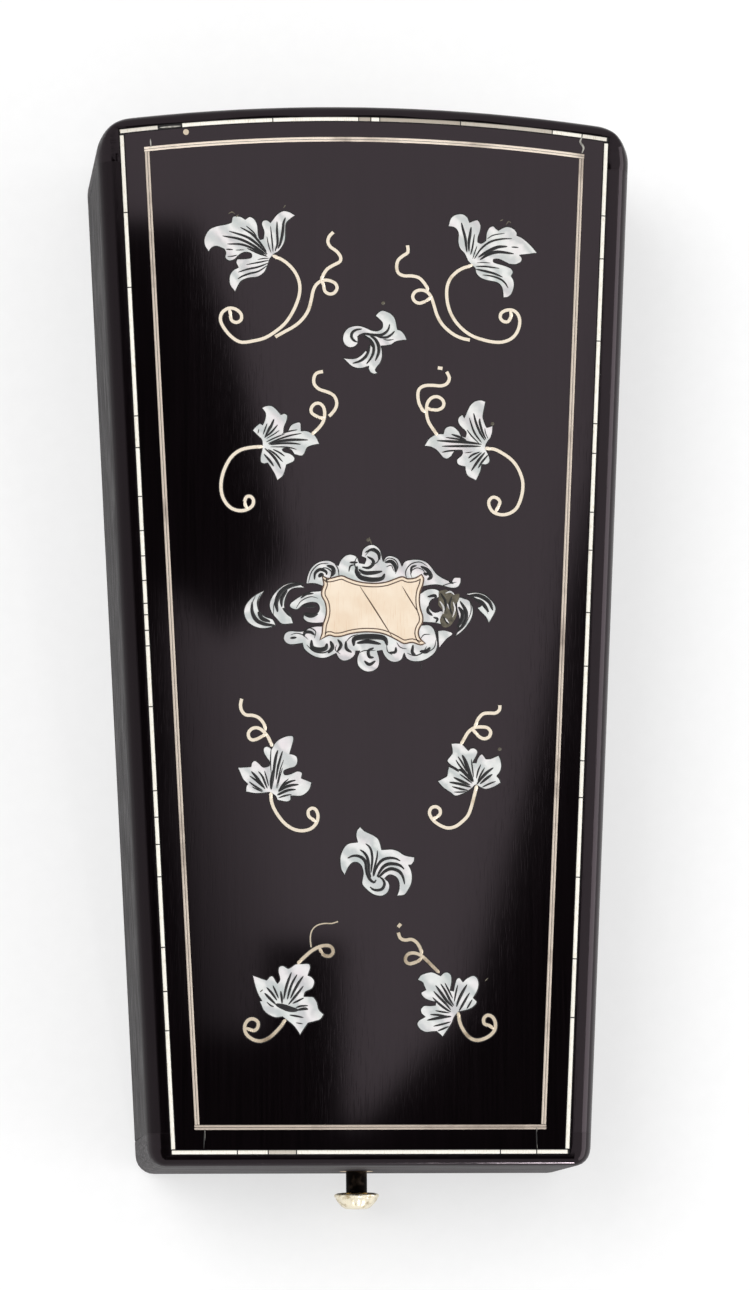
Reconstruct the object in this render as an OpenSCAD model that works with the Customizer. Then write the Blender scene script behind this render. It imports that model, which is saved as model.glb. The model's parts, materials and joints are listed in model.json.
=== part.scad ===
/* [Case] */
// Length of the case from the narrow front to the crown of the curved back
case_len = 130; // [120:1:150]
// Width at the narrow front, measured on the sides carried to the front face
narrow_w = 53.5; // [50:0.5:62]
// Width at the wide back, measured on the sides carried to the crown
wide_w = 66.5; // [63:0.5:80]
// Height of the base
base_h = 14.5; // [14:0.5:20]
// Height of the lid
lid_h = 10.35; // [10:0.05:16]
// Gap between base and lid when shut
parting_gap = 0.15; // [0.1:0.05:0.3]
// Radius of the curved back seen from above
back_arc_r = 223; // [150:1:400]
// Radius of the upright corners
corner_r = 2.3; // [1.5:0.1:4]
// Radius of the lid's long top edges
side_round = 2.2; // [1:0.1:2.3]
// Radius of the lid's front and back top edges
end_round = 1; // [0.5:0.1:1.3]

/* [Walls] */
// Thickness of the side rails
side_wall = 3.2; // [2.8:0.1:4]
// Thickness of the front rail
front_wall = 4; // [3.5:0.1:5]
// Depth of the back rail at the crown of the curve
back_wall = 7.5; // [7:0.1:9]
// Thickness of the bottom board
bottom_t = 2.5; // [2:0.1:3.5]
// Thickness of the board under the lid's veneer
panel_t = 1.8; // [1.2:0.1:2.5]
// Thickness of the lid's veneer and of everything inlaid in it
veneer_t = 0.9; // [0.6:0.1:1.2]
// Thickness of the silk pad inside the lid
lining_t = 1.6; // [0.8:0.1:2]

/* [Stringing] */
// Width of the outer bone string
bone_w = 0.73; // [0.5:0.01:1]
// Middle of the bone string from the side faces
bone_side = 3.1; // [2.8:0.1:4]
// Middle of the bone string from the front and back faces
bone_end = 1.7; // [1.4:0.1:2.4]
// Width of the inner brass string
brass_w = 0.67; // [0.4:0.01:1]
// Middle of the brass string from the side faces
brass_side = 6.1; // [5:0.1:7]
// Middle of the brass string from the front face
brass_front = 4.67; // [3.6:0.01:6]
// Middle of the brass string from the back face
brass_back = 4.24; // [3.6:0.01:6]
// Width of the brass wire of the tendrils
wire_w = 0.5; // [0.3:0.05:0.6]
// Width of the worn hairline wire at the narrow end
hairline_w = 0.25; // [0.15:0.05:0.4]

/* [Hinge] */
// Length of the hinge
hinge_len = 36; // [30:1:44]
// Radius of the knuckles
knuckle_r = 1.4; // [1.2:0.1:1.6]
// Radius of the hinge pin
pin_r = 0.6; // [0.4:0.05:0.8]
// Thickness of the hinge leaves
leaf_t = 0.8; // [0.5:0.1:1]
// Reach of the leaves in front of the pin
leaf_reach = 4.6; // [4.2:0.1:5]
// Distance of the pin from the crown of the back
hinge_setback = 2.3; // [2:0.1:3]
// Angle to which the bevelled back edges let the lid open
lid_open = 100; // [90:1:110]
// Number of knuckles
knuckles = 5; // [3:2:7]

/* [Catch] */
// Height of the push button's axis
button_z = 6.8; // [6:0.1:7.4]
// Radius of the button's stem
stem_r = 1.3; // [1:0.05:1.5]
// Radius of the button's head
head_r = 2.85; // [2.4:0.05:3.4]
// Gap between the front and the back of the head
head_gap = 2.6; // [2.2:0.1:4]
// Length of the head
head_len = 2; // [1.5:0.1:3]
// Travel of the button
button_travel = 1.6; // [1.2:0.1:2]
// Wall of the brass bush
bush_wall = 0.75; // [0.5:0.05:1]
// Width of the catch spring
spring_w = 7; // [5:0.5:9]
// Thickness of the catch spring
spring_t = 0.6; // [0.4:0.1:0.8]
// Thickness of the keeper plate
keeper_t = 0.8; // [0.6:0.1:1]
// Overlap of the spring's nose and the keeper's lip
catch_hold = 1.1; // [0.8:0.1:1.3]

/* [Tools] */
// Depth of the bed's top below the parting line
bed_drop = 2.5; // [2:0.1:3.5]
// Thickness of each half of the scissors
half_t = 1.5; // [1.2:0.1:1.8]
// Length of the bows along the scissors
bow_len = 20.4; // [18:0.2:24]
// Width of each bow
bow_w = 15.2; // [13:0.2:16]
// Thickness of the bows' rims
bow_rim = 2.2; // [1.6:0.1:2.8]
// Radius of the scissors' pivot screw
pivot_r = 1.1; // [0.8:0.05:1.4]
// Radius of the thimble's mouth
thimble_r = 7.5; // [7:0.1:7.8]
// Length of the thimble
thimble_len = 19; // [16:0.5:20]
// Wall of the thimble
thimble_wall = 0.6; // [0.5:0.05:0.9]
// Radius of the needle case
case_r = 4.25; // [3.8:0.05:4.8]
// Length of the needle case
needle_len = 70; // [56:1:76]
// Radius of the needle case's bore
needle_bore = 2.2; // [1.8:0.1:2.6]
// Length of the stiletto
stiletto_len = 80; // [70:1:88]
// Largest radius of the stiletto's handle
handle_r = 3.5; // [3:0.1:4]
// Radius of the stiletto's blade at the handle
blade_r = 1.3; // [1:0.05:1.6]
// Length of the bodkin
bodkin_len = 44; // [36:1:46]
// Width of the bodkin
bodkin_w = 4.4; // [3.6:0.1:5]
// Thickness of the bodkin
bodkin_t = 1; // [0.7:0.1:1.4]

/* [Fits] */
// Room round a tool in its recess and between soft pieces and rails
ease = 0.3; // [0.2:0.05:0.5]
// Running room of pins, stems and knuckles
run = 0.06; // [0.03:0.01:0.1]
// Radius of the small wood screws
screw_r = 0.5; // [0.4:0.05:0.6]

/* [Hidden] */
$fn = 48;

// Levels and stations of the case
case_h = base_h + parting_gap + lid_h;
lid_z = base_h + parting_gap;
veneer_z = case_h - veneer_t;
panel_z = veneer_z - panel_t;
lining_z = panel_z - lining_t;
bed_z = base_h - bed_drop;
front_y = -case_len / 2;
rail_y = front_y + front_wall;
back_y = case_len / 2 - back_wall;
far = 2 * case_len;

// Plan of the case: straight tapering sides and an arc at the back
taper = (wide_w - narrow_w) / (2 * case_len);
slant = sqrt(1 + taper * taper);
arc_y = case_len / 2 - back_arc_r;
arc_steps = 20;
corner_steps = 6;
side_n = [1, -taper] / slant;
function half_w(y, inset = 0) = narrow_w / 2 + taper * (y - front_y) - inset * slant;
// Where a side, moved in by one inset, meets the back arc, moved in by another
function meet_y(ds, db) =
    let (a = half_w(0, ds), r = back_arc_r - db, b = a * taper - arc_y, m = slant * slant)
    (-b + sqrt(b * b - m * (a * a + arc_y * arc_y - r * r))) / m;
function back_corner(ds, db) = let (y = meet_y(ds, db)) [half_w(y, ds), y];
function mirrored(pts) = [for (i = [len(pts) - 1:-1:0]) [-pts[i].x, pts[i].y]];
function along_arc(db, spread) =
    [for (i = [1:arc_steps - 1]) let (t = spread * (1 - 2 * i / arc_steps))
        [(back_arc_r - db) * sin(t), arc_y + (back_arc_r - db) * cos(t)]];
// Plan with sharp corners, moved in at sides, front and back
function plan(ds, df, db) =
    let (c = back_corner(ds, db), f = [half_w(front_y + df, ds), front_y + df])
    concat([[-f.x, f.y], f, c], along_arc(db, asin(c.x / (back_arc_r - db))), [[-c.x, c.y]]);
// Plan inside the rails, with a straight back
function inside(ds, df, db) =
    let (y0 = front_y + df, y1 = case_len / 2 - db, a = half_w(y0, ds), b = half_w(y1, ds))
    [[-a, y0], [a, y0], [b, y1], [-b, y1]];

// Outer plan with round corners; ds and de move the sides and the ends in, as the lid's edges do.
// The third number is the share of the end's rounding at that point.
function turn(centre, from, to, ds, de) =
    let (a0 = atan2(from.y, from.x), a1 = atan2(to.y, to.x))
    [for (i = [0:corner_steps]) let (q = 90 * i / corner_steps, a = a0 + (a1 - a0) * i / corner_steps,
            p = centre + corner_r * [cos(a), sin(a)] - from * ds * cos(q) - to * de * sin(q))
        [p.x, p.y, pow(sin(q), 2)]];
function flip(pts) = [for (i = [len(pts) - 1:-1:0]) [-pts[i].x, pts[i].y, pts[i].z]];
function rim(ds, de) =
    let (cf = [half_w(front_y + corner_r, corner_r), front_y + corner_r],
        cb = back_corner(corner_r, corner_r),
        spread = asin(cb.x / (back_arc_r - corner_r)),
        front = turn(cf, side_n, [0, -1], ds, de),
        back = turn(cb, side_n, [sin(spread), cos(spread)], ds, de),
        right = concat([for (i = [corner_steps:-1:0]) front[i]], back),
        crown = [for (p = along_arc(de, spread)) [p.x, p.y, 1]])
    concat(right, crown, flip(right));
function flat(pts) = [for (p = pts) [p.x, p.y]];

// The lid's rails: levels that follow the rounded top edges, then the lip beside the bone string
round_levels = 6;
bone_si = bone_side - bone_w / 2;
bone_ei = bone_end - bone_w / 2;
mitre_run = 1;
front_centre = [half_w(front_y + corner_r, corner_r), front_y + corner_r];
back_centre = back_corner(corner_r, corner_r);
back_spread = asin(back_centre.x / (back_arc_r - corner_r));
bone_front = [half_w(front_y + bone_ei, bone_si), front_y + bone_ei];
bone_back = back_corner(bone_si, bone_ei);
bone_arc_r = back_arc_r - bone_ei;
bone_spread = asin(bone_back.x / bone_arc_r);
lip_turn = mitre_run / bone_arc_r * 180 / PI;
function inset(r, a) = r * (1 - cos(a));
function edge_z(w, a) = case_h - (side_round + (end_round - side_round) * w) * (1 - sin(a));
function front_half(ds, de) =
    concat([[half_w(rail_y, ds), rail_y, 0]], turn(front_centre, side_n, [0, -1], ds, de));
function back_half(ds, de) =
    concat([[half_w(back_y, ds), back_y, 0]],
        turn(back_centre, side_n, [sin(back_spread), cos(back_spread)], ds, de));
function front_lip() =
    concat([[half_w(rail_y, bone_si), rail_y, 0]],
        [for (i = [0:corner_steps]) let (s = 2 * i / corner_steps - 1,
                y = bone_front.y - s * (front_centre.y - bone_front.y))
            s <= 0 ? [half_w(y, bone_si), y, 0] : [bone_front.x - s * mitre_run, bone_front.y, 0]]);
function back_lip() =
    concat([[half_w(back_y, bone_si), back_y, 0]],
        [for (i = [0:corner_steps]) let (s = 2 * i / corner_steps - 1, t = bone_spread - s * lip_turn,
                y = bone_back.y + s * (bone_back.y - back_centre.y))
            s <= 0 ? [half_w(y, bone_si), y, 0]
                : [bone_arc_r * sin(t), arc_y + bone_arc_r * cos(t), 0]]);
function crown(de, spread) = [for (p = along_arc(de, spread)) [p.x, p.y, 1]];
function across(half, middle) = concat(half, middle, flip(half));
function at_z(ring, z) = [for (p = ring) [p.x, p.y, z]];
function at_edge(ring, a) = [for (p = ring) [p.x, p.y, edge_z(p.z, a)]];
// A rail across the lid's end, from rings that start and stop on its inner face
module end_rail(rings, front) {
    n = len(rings[0]);
    top = len(rings) - 1;
    points = [for (r = rings) each r];
    shell = [for (k = [0:top - 1], i = [0:n - 2]) let (a = k * n + i, c = a + n)
        each [[a, a + 1, c + 1], [a, c + 1, c]]];
    floor_ring = [for (i = [0:n - 1]) top * n + i];
    under = [for (i = [n - 1:-1:0]) i];
    inner = concat([for (k = [0:top]) k * n], [for (k = [top:-1:0]) k * n + n - 1]);
    faces = concat(shell, [floor_ring, under, inner]);
    polyhedron(points, front ? faces : [for (f = faces) [for (i = [len(f) - 1:-1:0]) f[i]]], convexity = 4);
}
module lid_front_form()
    end_rail(concat([at_z(across(front_half(0, 0), []), lid_z)],
        [for (k = [0:round_levels]) let (a = 90 * k / round_levels)
            at_edge(across(front_half(inset(side_round, a), inset(end_round, a)), []), a)],
        [at_z(across(front_lip(), []), case_h), at_z(across(front_lip(), []), veneer_z)]), true);
module lid_back_form()
    end_rail(concat([at_z(across(back_half(0, 0), crown(0, back_spread)), lid_z)],
        [for (k = [0:round_levels]) let (a = 90 * k / round_levels, de = inset(end_round, a))
            at_edge(across(back_half(inset(side_round, a), de), crown(de, back_spread)), a)],
        [for (z = [case_h, veneer_z])
            at_z(across(back_lip(), crown(bone_ei, bone_spread - lip_turn)), z)]), false);
// A rail along the lid's side: one profile from the front rail to the back rail
module lid_side_form(s) {
    profile = concat([[0, lid_z]],
        [for (k = [0:round_levels]) let (a = 90 * k / round_levels) [inset(side_round, a), edge_z(0, a)]],
        [[bone_si, case_h], [bone_si, veneer_z], [side_wall, veneer_z], [side_wall, lid_z]]);
    n = len(profile);
    points = [for (p = profile, y = [rail_y, back_y]) [s * half_w(y, p.x), y, p.y]];
    faces = concat([for (k = [0:n - 1]) let (a = 2 * k, c = 2 * ((k + 1) % n)) [a, c, c + 1, a + 1]],
        [[for (k = [n - 1:-1:0]) 2 * k], [for (k = [0:n - 1]) 2 * k + 1]]);
    polyhedron(points, s > 0 ? faces : [for (f = faces) [for (i = [len(f) - 1:-1:0]) f[i]]], convexity = 4);
}

// Curves through hand-set knots; a third number marks a sharp corner
curve_steps = 3;
function xy(p) = [p.x, p.y];
function sharp(p) = len(p) > 2;
function blend(a, b, ta, tb, t) =
    a * (2 * t * t * t - 3 * t * t + 1) + ta * (t * t * t - 2 * t * t + t)
    + b * (3 * t * t - 2 * t * t * t) + tb * (t * t * t - t * t);
function span(p, a, b, q, steps) =
    let (chord = xy(b) - xy(a),
        ta = sharp(a) ? chord : (xy(b) - xy(p)) / 2,
        tb = sharp(b) ? chord : (xy(q) - xy(a)) / 2)
    [for (s = [0:steps - 1]) blend(xy(a), xy(b), ta, tb, s / steps)];
function outline(k) =
    let (n = len(k))
    [for (i = [0:n - 1])
        each span(k[(i + n - 1) % n], k[i], k[(i + 1) % n], k[(i + 2) % n],
            sharp(k[i]) && sharp(k[(i + 1) % n]) ? 1 : curve_steps)];
function path(k) =
    let (n = len(k))
    concat([for (i = [0:n - 2])
        each span(k[max(i - 1, 0)], k[i], k[i + 1], k[min(i + 2, n - 1)], curve_steps)], [xy(k[n - 1])]);
// A wire of even width along a path
function wire(k, w = wire_w) =
    let (c = path(k), n = len(c),
        side = [for (i = [0:n - 1])
            let (d = c[min(i + 1, n - 1)] - c[max(i - 1, 0)]) [-d.y, d.x] / norm(d) * w / 2])
    concat([for (i = [0:n - 1]) c[i] + side[i]], [for (i = [n - 1:-1:0]) c[i] - side[i]]);

// Knots of the mother-of-pearl leaves, clockwise from the stem, in the lid's plan
top_left_leaf = [
    [-11.3, 46.2], [-10.8, 46.5], [-10.3, 47.1], [-9.9, 48], [-9.85, 49.2], [-9.8, 50], [-9.4, 50.5],
    [-8.65, 51.1, 1], [-9.3, 51.5], [-10.1, 51.65], [-10.9, 51.2], [-11.7, 50.15, 1], [-12.1, 50.45],
    [-12.6, 50.4], [-12.8, 49.9], [-12.5, 49], [-12.6, 48.1, 1], [-13, 48, 1], [-13.2, 48.6], [-13.3, 49.8],
    [-13.7, 50.6], [-14.3, 50.85], [-14.8, 50.5, 1], [-15.4, 50.85], [-16.3, 50.85], [-16.5, 50.1, 1],
    [-17.2, 49.85], [-18.2, 49.65], [-19.2, 49.2], [-19.8, 48.2], [-19.8, 47.2], [-19.3, 46.4, 1],
    [-18.9, 46.9], [-18.3, 47.1], [-17.4, 46.75, 1], [-17.2, 46.3], [-17.3, 45.7], [-16.8, 45.3],
    [-16.1, 45.5], [-15.5, 46.1], [-14.8, 46.4], [-14.1, 46.25], [-14.1, 45.75], [-14.8, 45.6],
    [-15.8, 45.55, 1], [-15.95, 45.1], [-15.65, 44.5, 1], [-16.3, 44.15], [-16.75, 43.4], [-16.7, 42.3],
    [-16.05, 41.45, 1], [-15.8, 42], [-15.3, 42.8], [-14.4, 43.2], [-13.3, 43.35], [-12.5, 43.9],
    [-12.1, 44.7], [-11.8, 45.6, 1]];
top_right_leaf = [
    [13.5, 44.8, 1], [13.6, 44.2], [14.1, 43.65], [14.8, 43.35], [15.6, 43.2], [16.3, 43], [16.8, 42.4],
    [16.95, 41.2, 1], [17.5, 41.25], [18, 41.7], [18.3, 42.6], [18.25, 43.4], [17.95, 43.9, 1],
    [18.2, 44.4], [17.9, 44.9], [17.2, 45.2, 1], [16.5, 45.4], [15.85, 45.6], [15.8, 45.95], [16.4, 46],
    [17, 45.75], [17.7, 45.4, 1], [18.5, 45.35], [19.2, 45.7], [19.3, 46.2], [19, 46.55, 1], [20, 46.65],
    [21.2, 46.85, 1], [20.6, 47.6], [20, 48.2], [19.3, 48.75], [18.7, 49, 1], [18.7, 49.4], [18.3, 49.85],
    [17.6, 50.1], [17, 49.95], [16.4, 49.6, 1], [16.1, 49.85, 1], [15.8, 50.15], [15.3, 49.95],
    [14.95, 49.3], [14.85, 48.3, 1], [14.3, 47.95], [13.85, 48.1, 1], [13.9, 48.7], [14.15, 49.4],
    [14.25, 50.2], [13.9, 50.85], [13.4, 50.8], [12.85, 50.55, 1], [12.6, 51.2], [12, 51.6], [11.1, 51.5],
    [10.5, 51], [10.2, 50, 1], [11, 49.85], [11.45, 49.2], [11.4, 48.2], [11.6, 47.3], [12.2, 46.6],
    [12.6, 45.7, 1], [13, 45.3, 1]];
upper_left_leaf = [
    [-12.8, 22.7], [-12.9, 23.2], [-13.3, 23.6, 1], [-13.6, 23.9], [-14, 24.3, 1], [-13.6, 24.8],
    [-13.1, 25.2, 1], [-12.75, 25, 1], [-12.5, 25.6], [-12.4, 26.4], [-12.85, 27.1, 1], [-12.4, 27.35],
    [-11.7, 27.4], [-11.1, 27], [-10.5, 26.3, 1], [-10.1, 26.45], [-9.7, 26.2], [-9.8, 25.5], [-10.1, 24.8],
    [-10.2, 24.05, 1], [-9.7, 24.2, 1], [-9.3, 25], [-8.6, 25.35], [-8.1, 25.3], [-8.05, 24.3, 1],
    [-7.5, 24.35], [-6.8, 24.1], [-6.2, 23.6], [-5.8, 22.7, 1], [-6.6, 22.55], [-7.3, 22.25], [-7.6, 21.6],
    [-8, 21.2], [-8.9, 21.4, 1], [-9.3, 21.95], [-9.9, 22.15], [-10.35, 22], [-10.1, 21.7], [-9.4, 21.5],
    [-8.85, 21], [-9, 20.5], [-9.85, 20.1, 1], [-10, 19.5], [-10.3, 18.7], [-11, 18.15, 1], [-11.3, 18.9],
    [-11.7, 19.6], [-12.15, 20.3, 1], [-12.6, 20.2], [-13, 20.4], [-13.05, 21], [-12.85, 21.9]];
upper_right_leaf = [
    [14.6, 22.7], [14.9, 23.3], [15.2, 23.65, 1], [15.45, 24.4], [15.5, 25.25, 1], [15.1, 25.1],
    [14.75, 25, 1], [14.5, 25.6], [14.3, 26.3], [14.45, 27.2], [14.65, 28.2, 1], [14.1, 28.4], [13.3, 28.25],
    [12.7, 27.7], [12.35, 27], [12, 26.15, 1], [11.75, 26.55], [11.3, 26.2], [11.2, 25.7], [11.5, 25.1],
    [12.2, 24.4], [12.1, 23.75, 1], [11.6, 23.9, 1], [11.3, 24.5], [10.7, 25.05], [10.1, 25.1], [9.6, 24.8],
    [9.4, 24.15, 1], [8.8, 24.15], [8.1, 23.9], [7.5, 23.4], [7.05, 22.6, 1], [7.8, 22.5], [8.5, 22.15],
    [9, 21.6], [9.4, 21.15], [9.9, 21.05], [10.4, 21.4, 1], [10.8, 22], [11.4, 22.15], [11.75, 21.9],
    [11.55, 21.45], [11.05, 21], [11.1, 20.45], [11.5, 20.2], [12.05, 20.1, 1], [12.1, 19.5], [12.4, 18.9],
    [13.4, 18.4, 1], [13.7, 19], [14, 19.7], [14.1, 20.4, 1], [14.7, 20.4], [15.1, 20.8], [15, 21.5],
    [14.7, 22.1, 1]];
lower_left_leaf = [
    [-12.1, -20, 1], [-12.8, -20.1], [-13.8, -20.15], [-14.95, -19.95, 1], [-14.9, -19.3], [-14.7, -19, 1],
    [-15.3, -18.4], [-15.9, -17, 1], [-15.2, -16.95], [-14.3, -16.9, 1], [-14.2, -16.4], [-13.8, -16.15],
    [-13.3, -16.5], [-12.8, -16.95], [-12.1, -16.8, 1], [-12.05, -16.3], [-12.4, -15.8], [-12.75, -15.2],
    [-12.75, -14.6], [-12.35, -14.4], [-11.95, -14.6], [-11.8, -14.75, 1], [-11.4, -14], [-10.8, -13.5],
    [-10, -13.15], [-9.3, -13.1], [-9.1, -13.5], [-9.3, -14.3], [-9.6, -15.3, 1], [-9.1, -15.4],
    [-8.7, -15.7], [-8.65, -16.4], [-9, -16.9], [-9.7, -17.1], [-10.3, -17.4], [-10.2, -17.85],
    [-9.5, -17.75], [-8.7, -17.4], [-8.1, -17.6], [-8.2, -18.25, 1], [-7.7, -18.45], [-6.95, -18.75, 1],
    [-7.1, -19.4], [-7.5, -20], [-8.3, -20.45], [-9.5, -20.4, 1], [-9.5, -20.9], [-10, -21.15],
    [-11.1, -20.95, 1], [-11.4, -20.4]];
lower_right_leaf = [
    [12.6, -19.35, 1], [12, -19.8], [11.3, -20.15], [10.5, -20.35], [9.95, -19.95, 1], [9.4, -19.6],
    [8.9, -19.2], [8.35, -18.55, 1], [9, -18.2], [9.5, -17.9], [9.6, -17.3], [9.75, -16.75, 1], [10.3, -17],
    [10.95, -17.4, 1], [10.7, -17], [10, -16.6], [9.55, -16.05], [10, -15.4, 1], [10.2, -15],
    [10.05, -13.95, 1], [10.7, -13.9], [11.4, -14], [12.15, -14.8, 1], [12.5, -14.5], [13, -14.55],
    [13.3, -14.95], [13.1, -15.5], [12.65, -16.3, 1], [13.1, -16.3, 1], [13.3, -15.7], [13.8, -15.2],
    [14.3, -15.8, 1], [14.9, -15.75], [15.85, -15.35, 1], [16.1, -15.9], [16.2, -16.7], [16, -17.4],
    [15.6, -17.9, 1], [15.9, -18.2], [16.1, -18.7, 1], [15.5, -19.1], [14.8, -19.4], [14.1, -19.5],
    [13.4, -19.2, 1], [13, -19]];
bottom_left_leaf = [
    [-10.6, -47.1, 1], [-11.4, -47.2], [-12.2, -46.9], [-12.9, -46.3], [-13.35, -45.2, 1], [-13.05, -45.2, 1],
    [-13.5, -44.5], [-13.9, -43.4], [-14.2, -42.1, 1], [-13.6, -42.3], [-12.5, -42.7, 1], [-12.1, -42.25],
    [-11.7, -42.25], [-11.2, -43.1, 1], [-10.9, -42.6], [-11.1, -41.7], [-11, -41.1], [-10.5, -40.95],
    [-9.9, -41.3, 1], [-9.5, -41.1], [-9, -40.75], [-8.2, -40.7], [-7.4, -40.7], [-7.2, -41.2],
    [-7.5, -42.1, 1], [-7, -42.35], [-6.7, -42.9], [-7, -43.7], [-7.8, -44.1], [-8, -44.65, 1],
    [-7.4, -44.65], [-6.8, -44.75], [-6.4, -45.4], [-6.2, -46.2], [-5.6, -46.8, 1], [-6, -47.4],
    [-6.7, -47.65], [-7.5, -47.85, 1], [-7.9, -48.4], [-8.5, -49.3, 1], [-8.8, -48.8], [-9.3, -48.15],
    [-10.1, -47.5, 1]];
bottom_right_leaf = [
    [10.2, -47.1], [9.9, -47.8], [9.4, -48.6], [8.75, -49.5, 1], [8.4, -49.2], [8, -48.85, 1], [7.4, -48.9],
    [6.7, -48.95], [6, -48.6], [5.65, -48], [5.9, -47.5], [6.65, -47.1, 1], [6.2, -46.7], [6.1, -46.2],
    [6.5, -45.75], [7.2, -45.75], [7.9, -45.7, 1], [7.95, -45.3, 1], [7.2, -45.15], [6.5, -44.8],
    [6.15, -44.2], [6.75, -43.85, 1], [6.5, -43.3], [6.35, -42.95], [5.75, -42.65, 1], [6.1, -42.1],
    [6.8, -41.8], [7.6, -41.7], [8.55, -42.15, 1], [8.9, -41.8], [9.4, -41.7], [9.85, -42.1], [9.9, -42.9],
    [9.7, -43.9, 1], [10.1, -44, 1], [10.25, -43.2], [10.5, -42.5], [10.9, -42.4], [11.25, -42.9, 1],
    [11.7, -42.45], [12.5, -42.1], [13, -42.4], [13.2, -43.1], [13, -44], [12.5, -44.8, 1], [12.95, -45.3],
    [12.5, -45.9], [11.8, -46.25], [10.7, -46.5, 1]];

// Knots of the two sprigs on the middle line
upper_sprig = [
    [1.15, 38.7, 1], [1.45, 39.1], [1.95, 39.4], [2.6, 39.25], [3.2, 38.9], [3.6, 38.3], [3.85, 37.05, 1],
    [4.3, 36.9], [4.75, 36.4], [5, 35.75, 1], [4.2, 35.65], [3.6, 35.5], [3.1, 35.15], [2.4, 35],
    [1.8, 34.95, 1], [1.95, 34.4], [1.95, 33.6], [1.75, 32.9], [1.35, 32.4], [1.1, 31.95], [1.4, 31.6, 1],
    [0.95, 31.45], [0.5, 31.65], [0.25, 32.1], [0.3, 32.45, 1], [-0.4, 32.2], [-1.1, 32.15], [-1.9, 32.45],
    [-2.85, 33.4, 1], [-2.1, 33.35], [-1.3, 33.4], [-0.7, 33.75], [-0.05, 34.4, 1], [0.15, 34, 1],
    [0.35, 34.4], [0.5, 35.1, 1], [0.8, 34.7, 1], [0.8, 35.2], [0.5, 35.7], [0, 36.15, 1], [-0.5, 36.4],
    [-1.05, 36.1, 1], [-1, 35.7], [-1.05, 35.2, 1], [-1.4, 34.85], [-2, 34.7], [-2.6, 35], [-2.9, 35.7],
    [-2.75, 36.5], [-2.3, 37.1], [-1.6, 37.4], [-0.8, 37.45], [0, 37.2], [0.7, 36.9], [1.4, 36.85],
    [1.95, 37.2], [2, 37.8], [1.7, 38.2]];
lower_sprig = [
    [-1.1, -24.1, 1], [-0.6, -24.6], [0, -24.9], [0.6, -25.2], [1.1, -25.6], [1.35, -26.2], [1.5, -26.9, 1],
    [2.2, -26.85], [2.9, -26.85], [3.6, -27.1], [4.3, -27.55], [5.5, -27.8, 1], [5.45, -28.3],
    [5.1, -28.75, 1], [4.75, -28.75, 1], [5.05, -29.3], [5.2, -30.1], [5.1, -31], [4.7, -31.8],
    [4.2, -32.4], [3.3, -32.5, 1], [3.55, -31.8], [3.6, -31], [3.35, -30.35], [2.8, -30], [2.3, -30],
    [1.85, -30.4, 1], [2.3, -30.8], [2.45, -31.4], [2.2, -32.1], [1.6, -32.5], [0.9, -32.5], [0.2, -32.2],
    [-0.4, -31.7], [-0.9, -31.1], [-0.85, -30.4], [-0.75, -29.7], [-0.95, -28.95], [-1.4, -28.5],
    [-2, -28.5], [-2.5, -29], [-3, -30, 1], [-3.4, -29.4], [-3.55, -28.5], [-3.5, -27.6], [-3.1, -26.7],
    [-2.5, -26.15], [-1.4, -26, 1], [-1.6, -25.3], [-1.5, -24.6]];

// Knots of the brass tendrils: the stem with its curl, the looped shoot and its tail
top_left_wires = [
    [[-11.1, 45.85], [-10.4, 45.6], [-9.5, 44.95], [-8.7, 44], [-8.2, 42.8], [-8.15, 41.5], [-8.5, 40.2],
        [-9.1, 38.9], [-9.9, 37.7], [-11, 36.7], [-12.4, 35.8], [-13.8, 35.4], [-15.2, 35.2], [-16.2, 35.6],
        [-17.2, 36.6], [-17.85, 37.8], [-17.7, 38.8], [-16.9, 39.4], [-16, 39.3], [-15.35, 38.7],
        [-15.35, 38], [-15.9, 37.65], [-16.5, 37.9], [-16.65, 38.5]],
    [[-11.2, 35.9], [-10, 36.6], [-8.8, 37.3], [-7.8, 38.2], [-7.1, 39.3], [-6.75, 40.5], [-6.5, 41.7],
        [-6.1, 42.5], [-5.4, 43], [-4.6, 43.05], [-3.8, 42.7], [-3.55, 42.1], [-3.9, 41.5], [-4.5, 41.35],
        [-5.05, 41.7], [-5.2, 42.4]],
    [[-5.35, 43.45], [-5.15, 43.9], [-4.7, 44.5], [-3.9, 45], [-3.2, 45.4], [-3.1, 46], [-3.6, 46.7],
        [-4.3, 47.2], [-4.65, 47.8], [-4.5, 48.5], [-3.95, 49.1]]];
top_right_wires = [
    [[12.75, 45.05], [12.1, 44.85], [11.3, 44.4], [10.5, 43.6], [10.05, 42.6], [9.95, 41.4], [10.1, 40.2],
        [10.5, 39], [11.2, 37.9], [12.1, 37], [13.2, 36.3], [14.4, 35.9], [15.6, 35.65], [16.8, 35.65],
        [17.9, 36.1], [18.6, 36.9], [18.95, 38], [18.8, 39], [18.2, 39.6], [17.4, 39.65], [16.7, 39.3],
        [16.55, 38.7], [16.9, 38.25], [17.5, 38.2], [17.85, 38.75]],
    [[12.8, 35.85], [11.8, 36.05], [10.8, 36.5], [9.9, 37.2], [9.2, 38], [8.7, 39], [8.35, 40.2],
        [8, 41.2], [7.5, 41.8], [6.8, 42], [6.1, 41.8], [5.75, 41.2], [6, 40.6], [6.6, 40.35], [7.3, 40.6]],
    [[7.5, 42.4], [7.1, 43], [6.5, 43.55], [5.6, 43.75], [4.7, 43.75], [4, 44.1], [3.8, 44.9], [4, 45.7],
        [4.6, 46.25], [5.2, 46.7], [5.15, 47.6]]];
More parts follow.
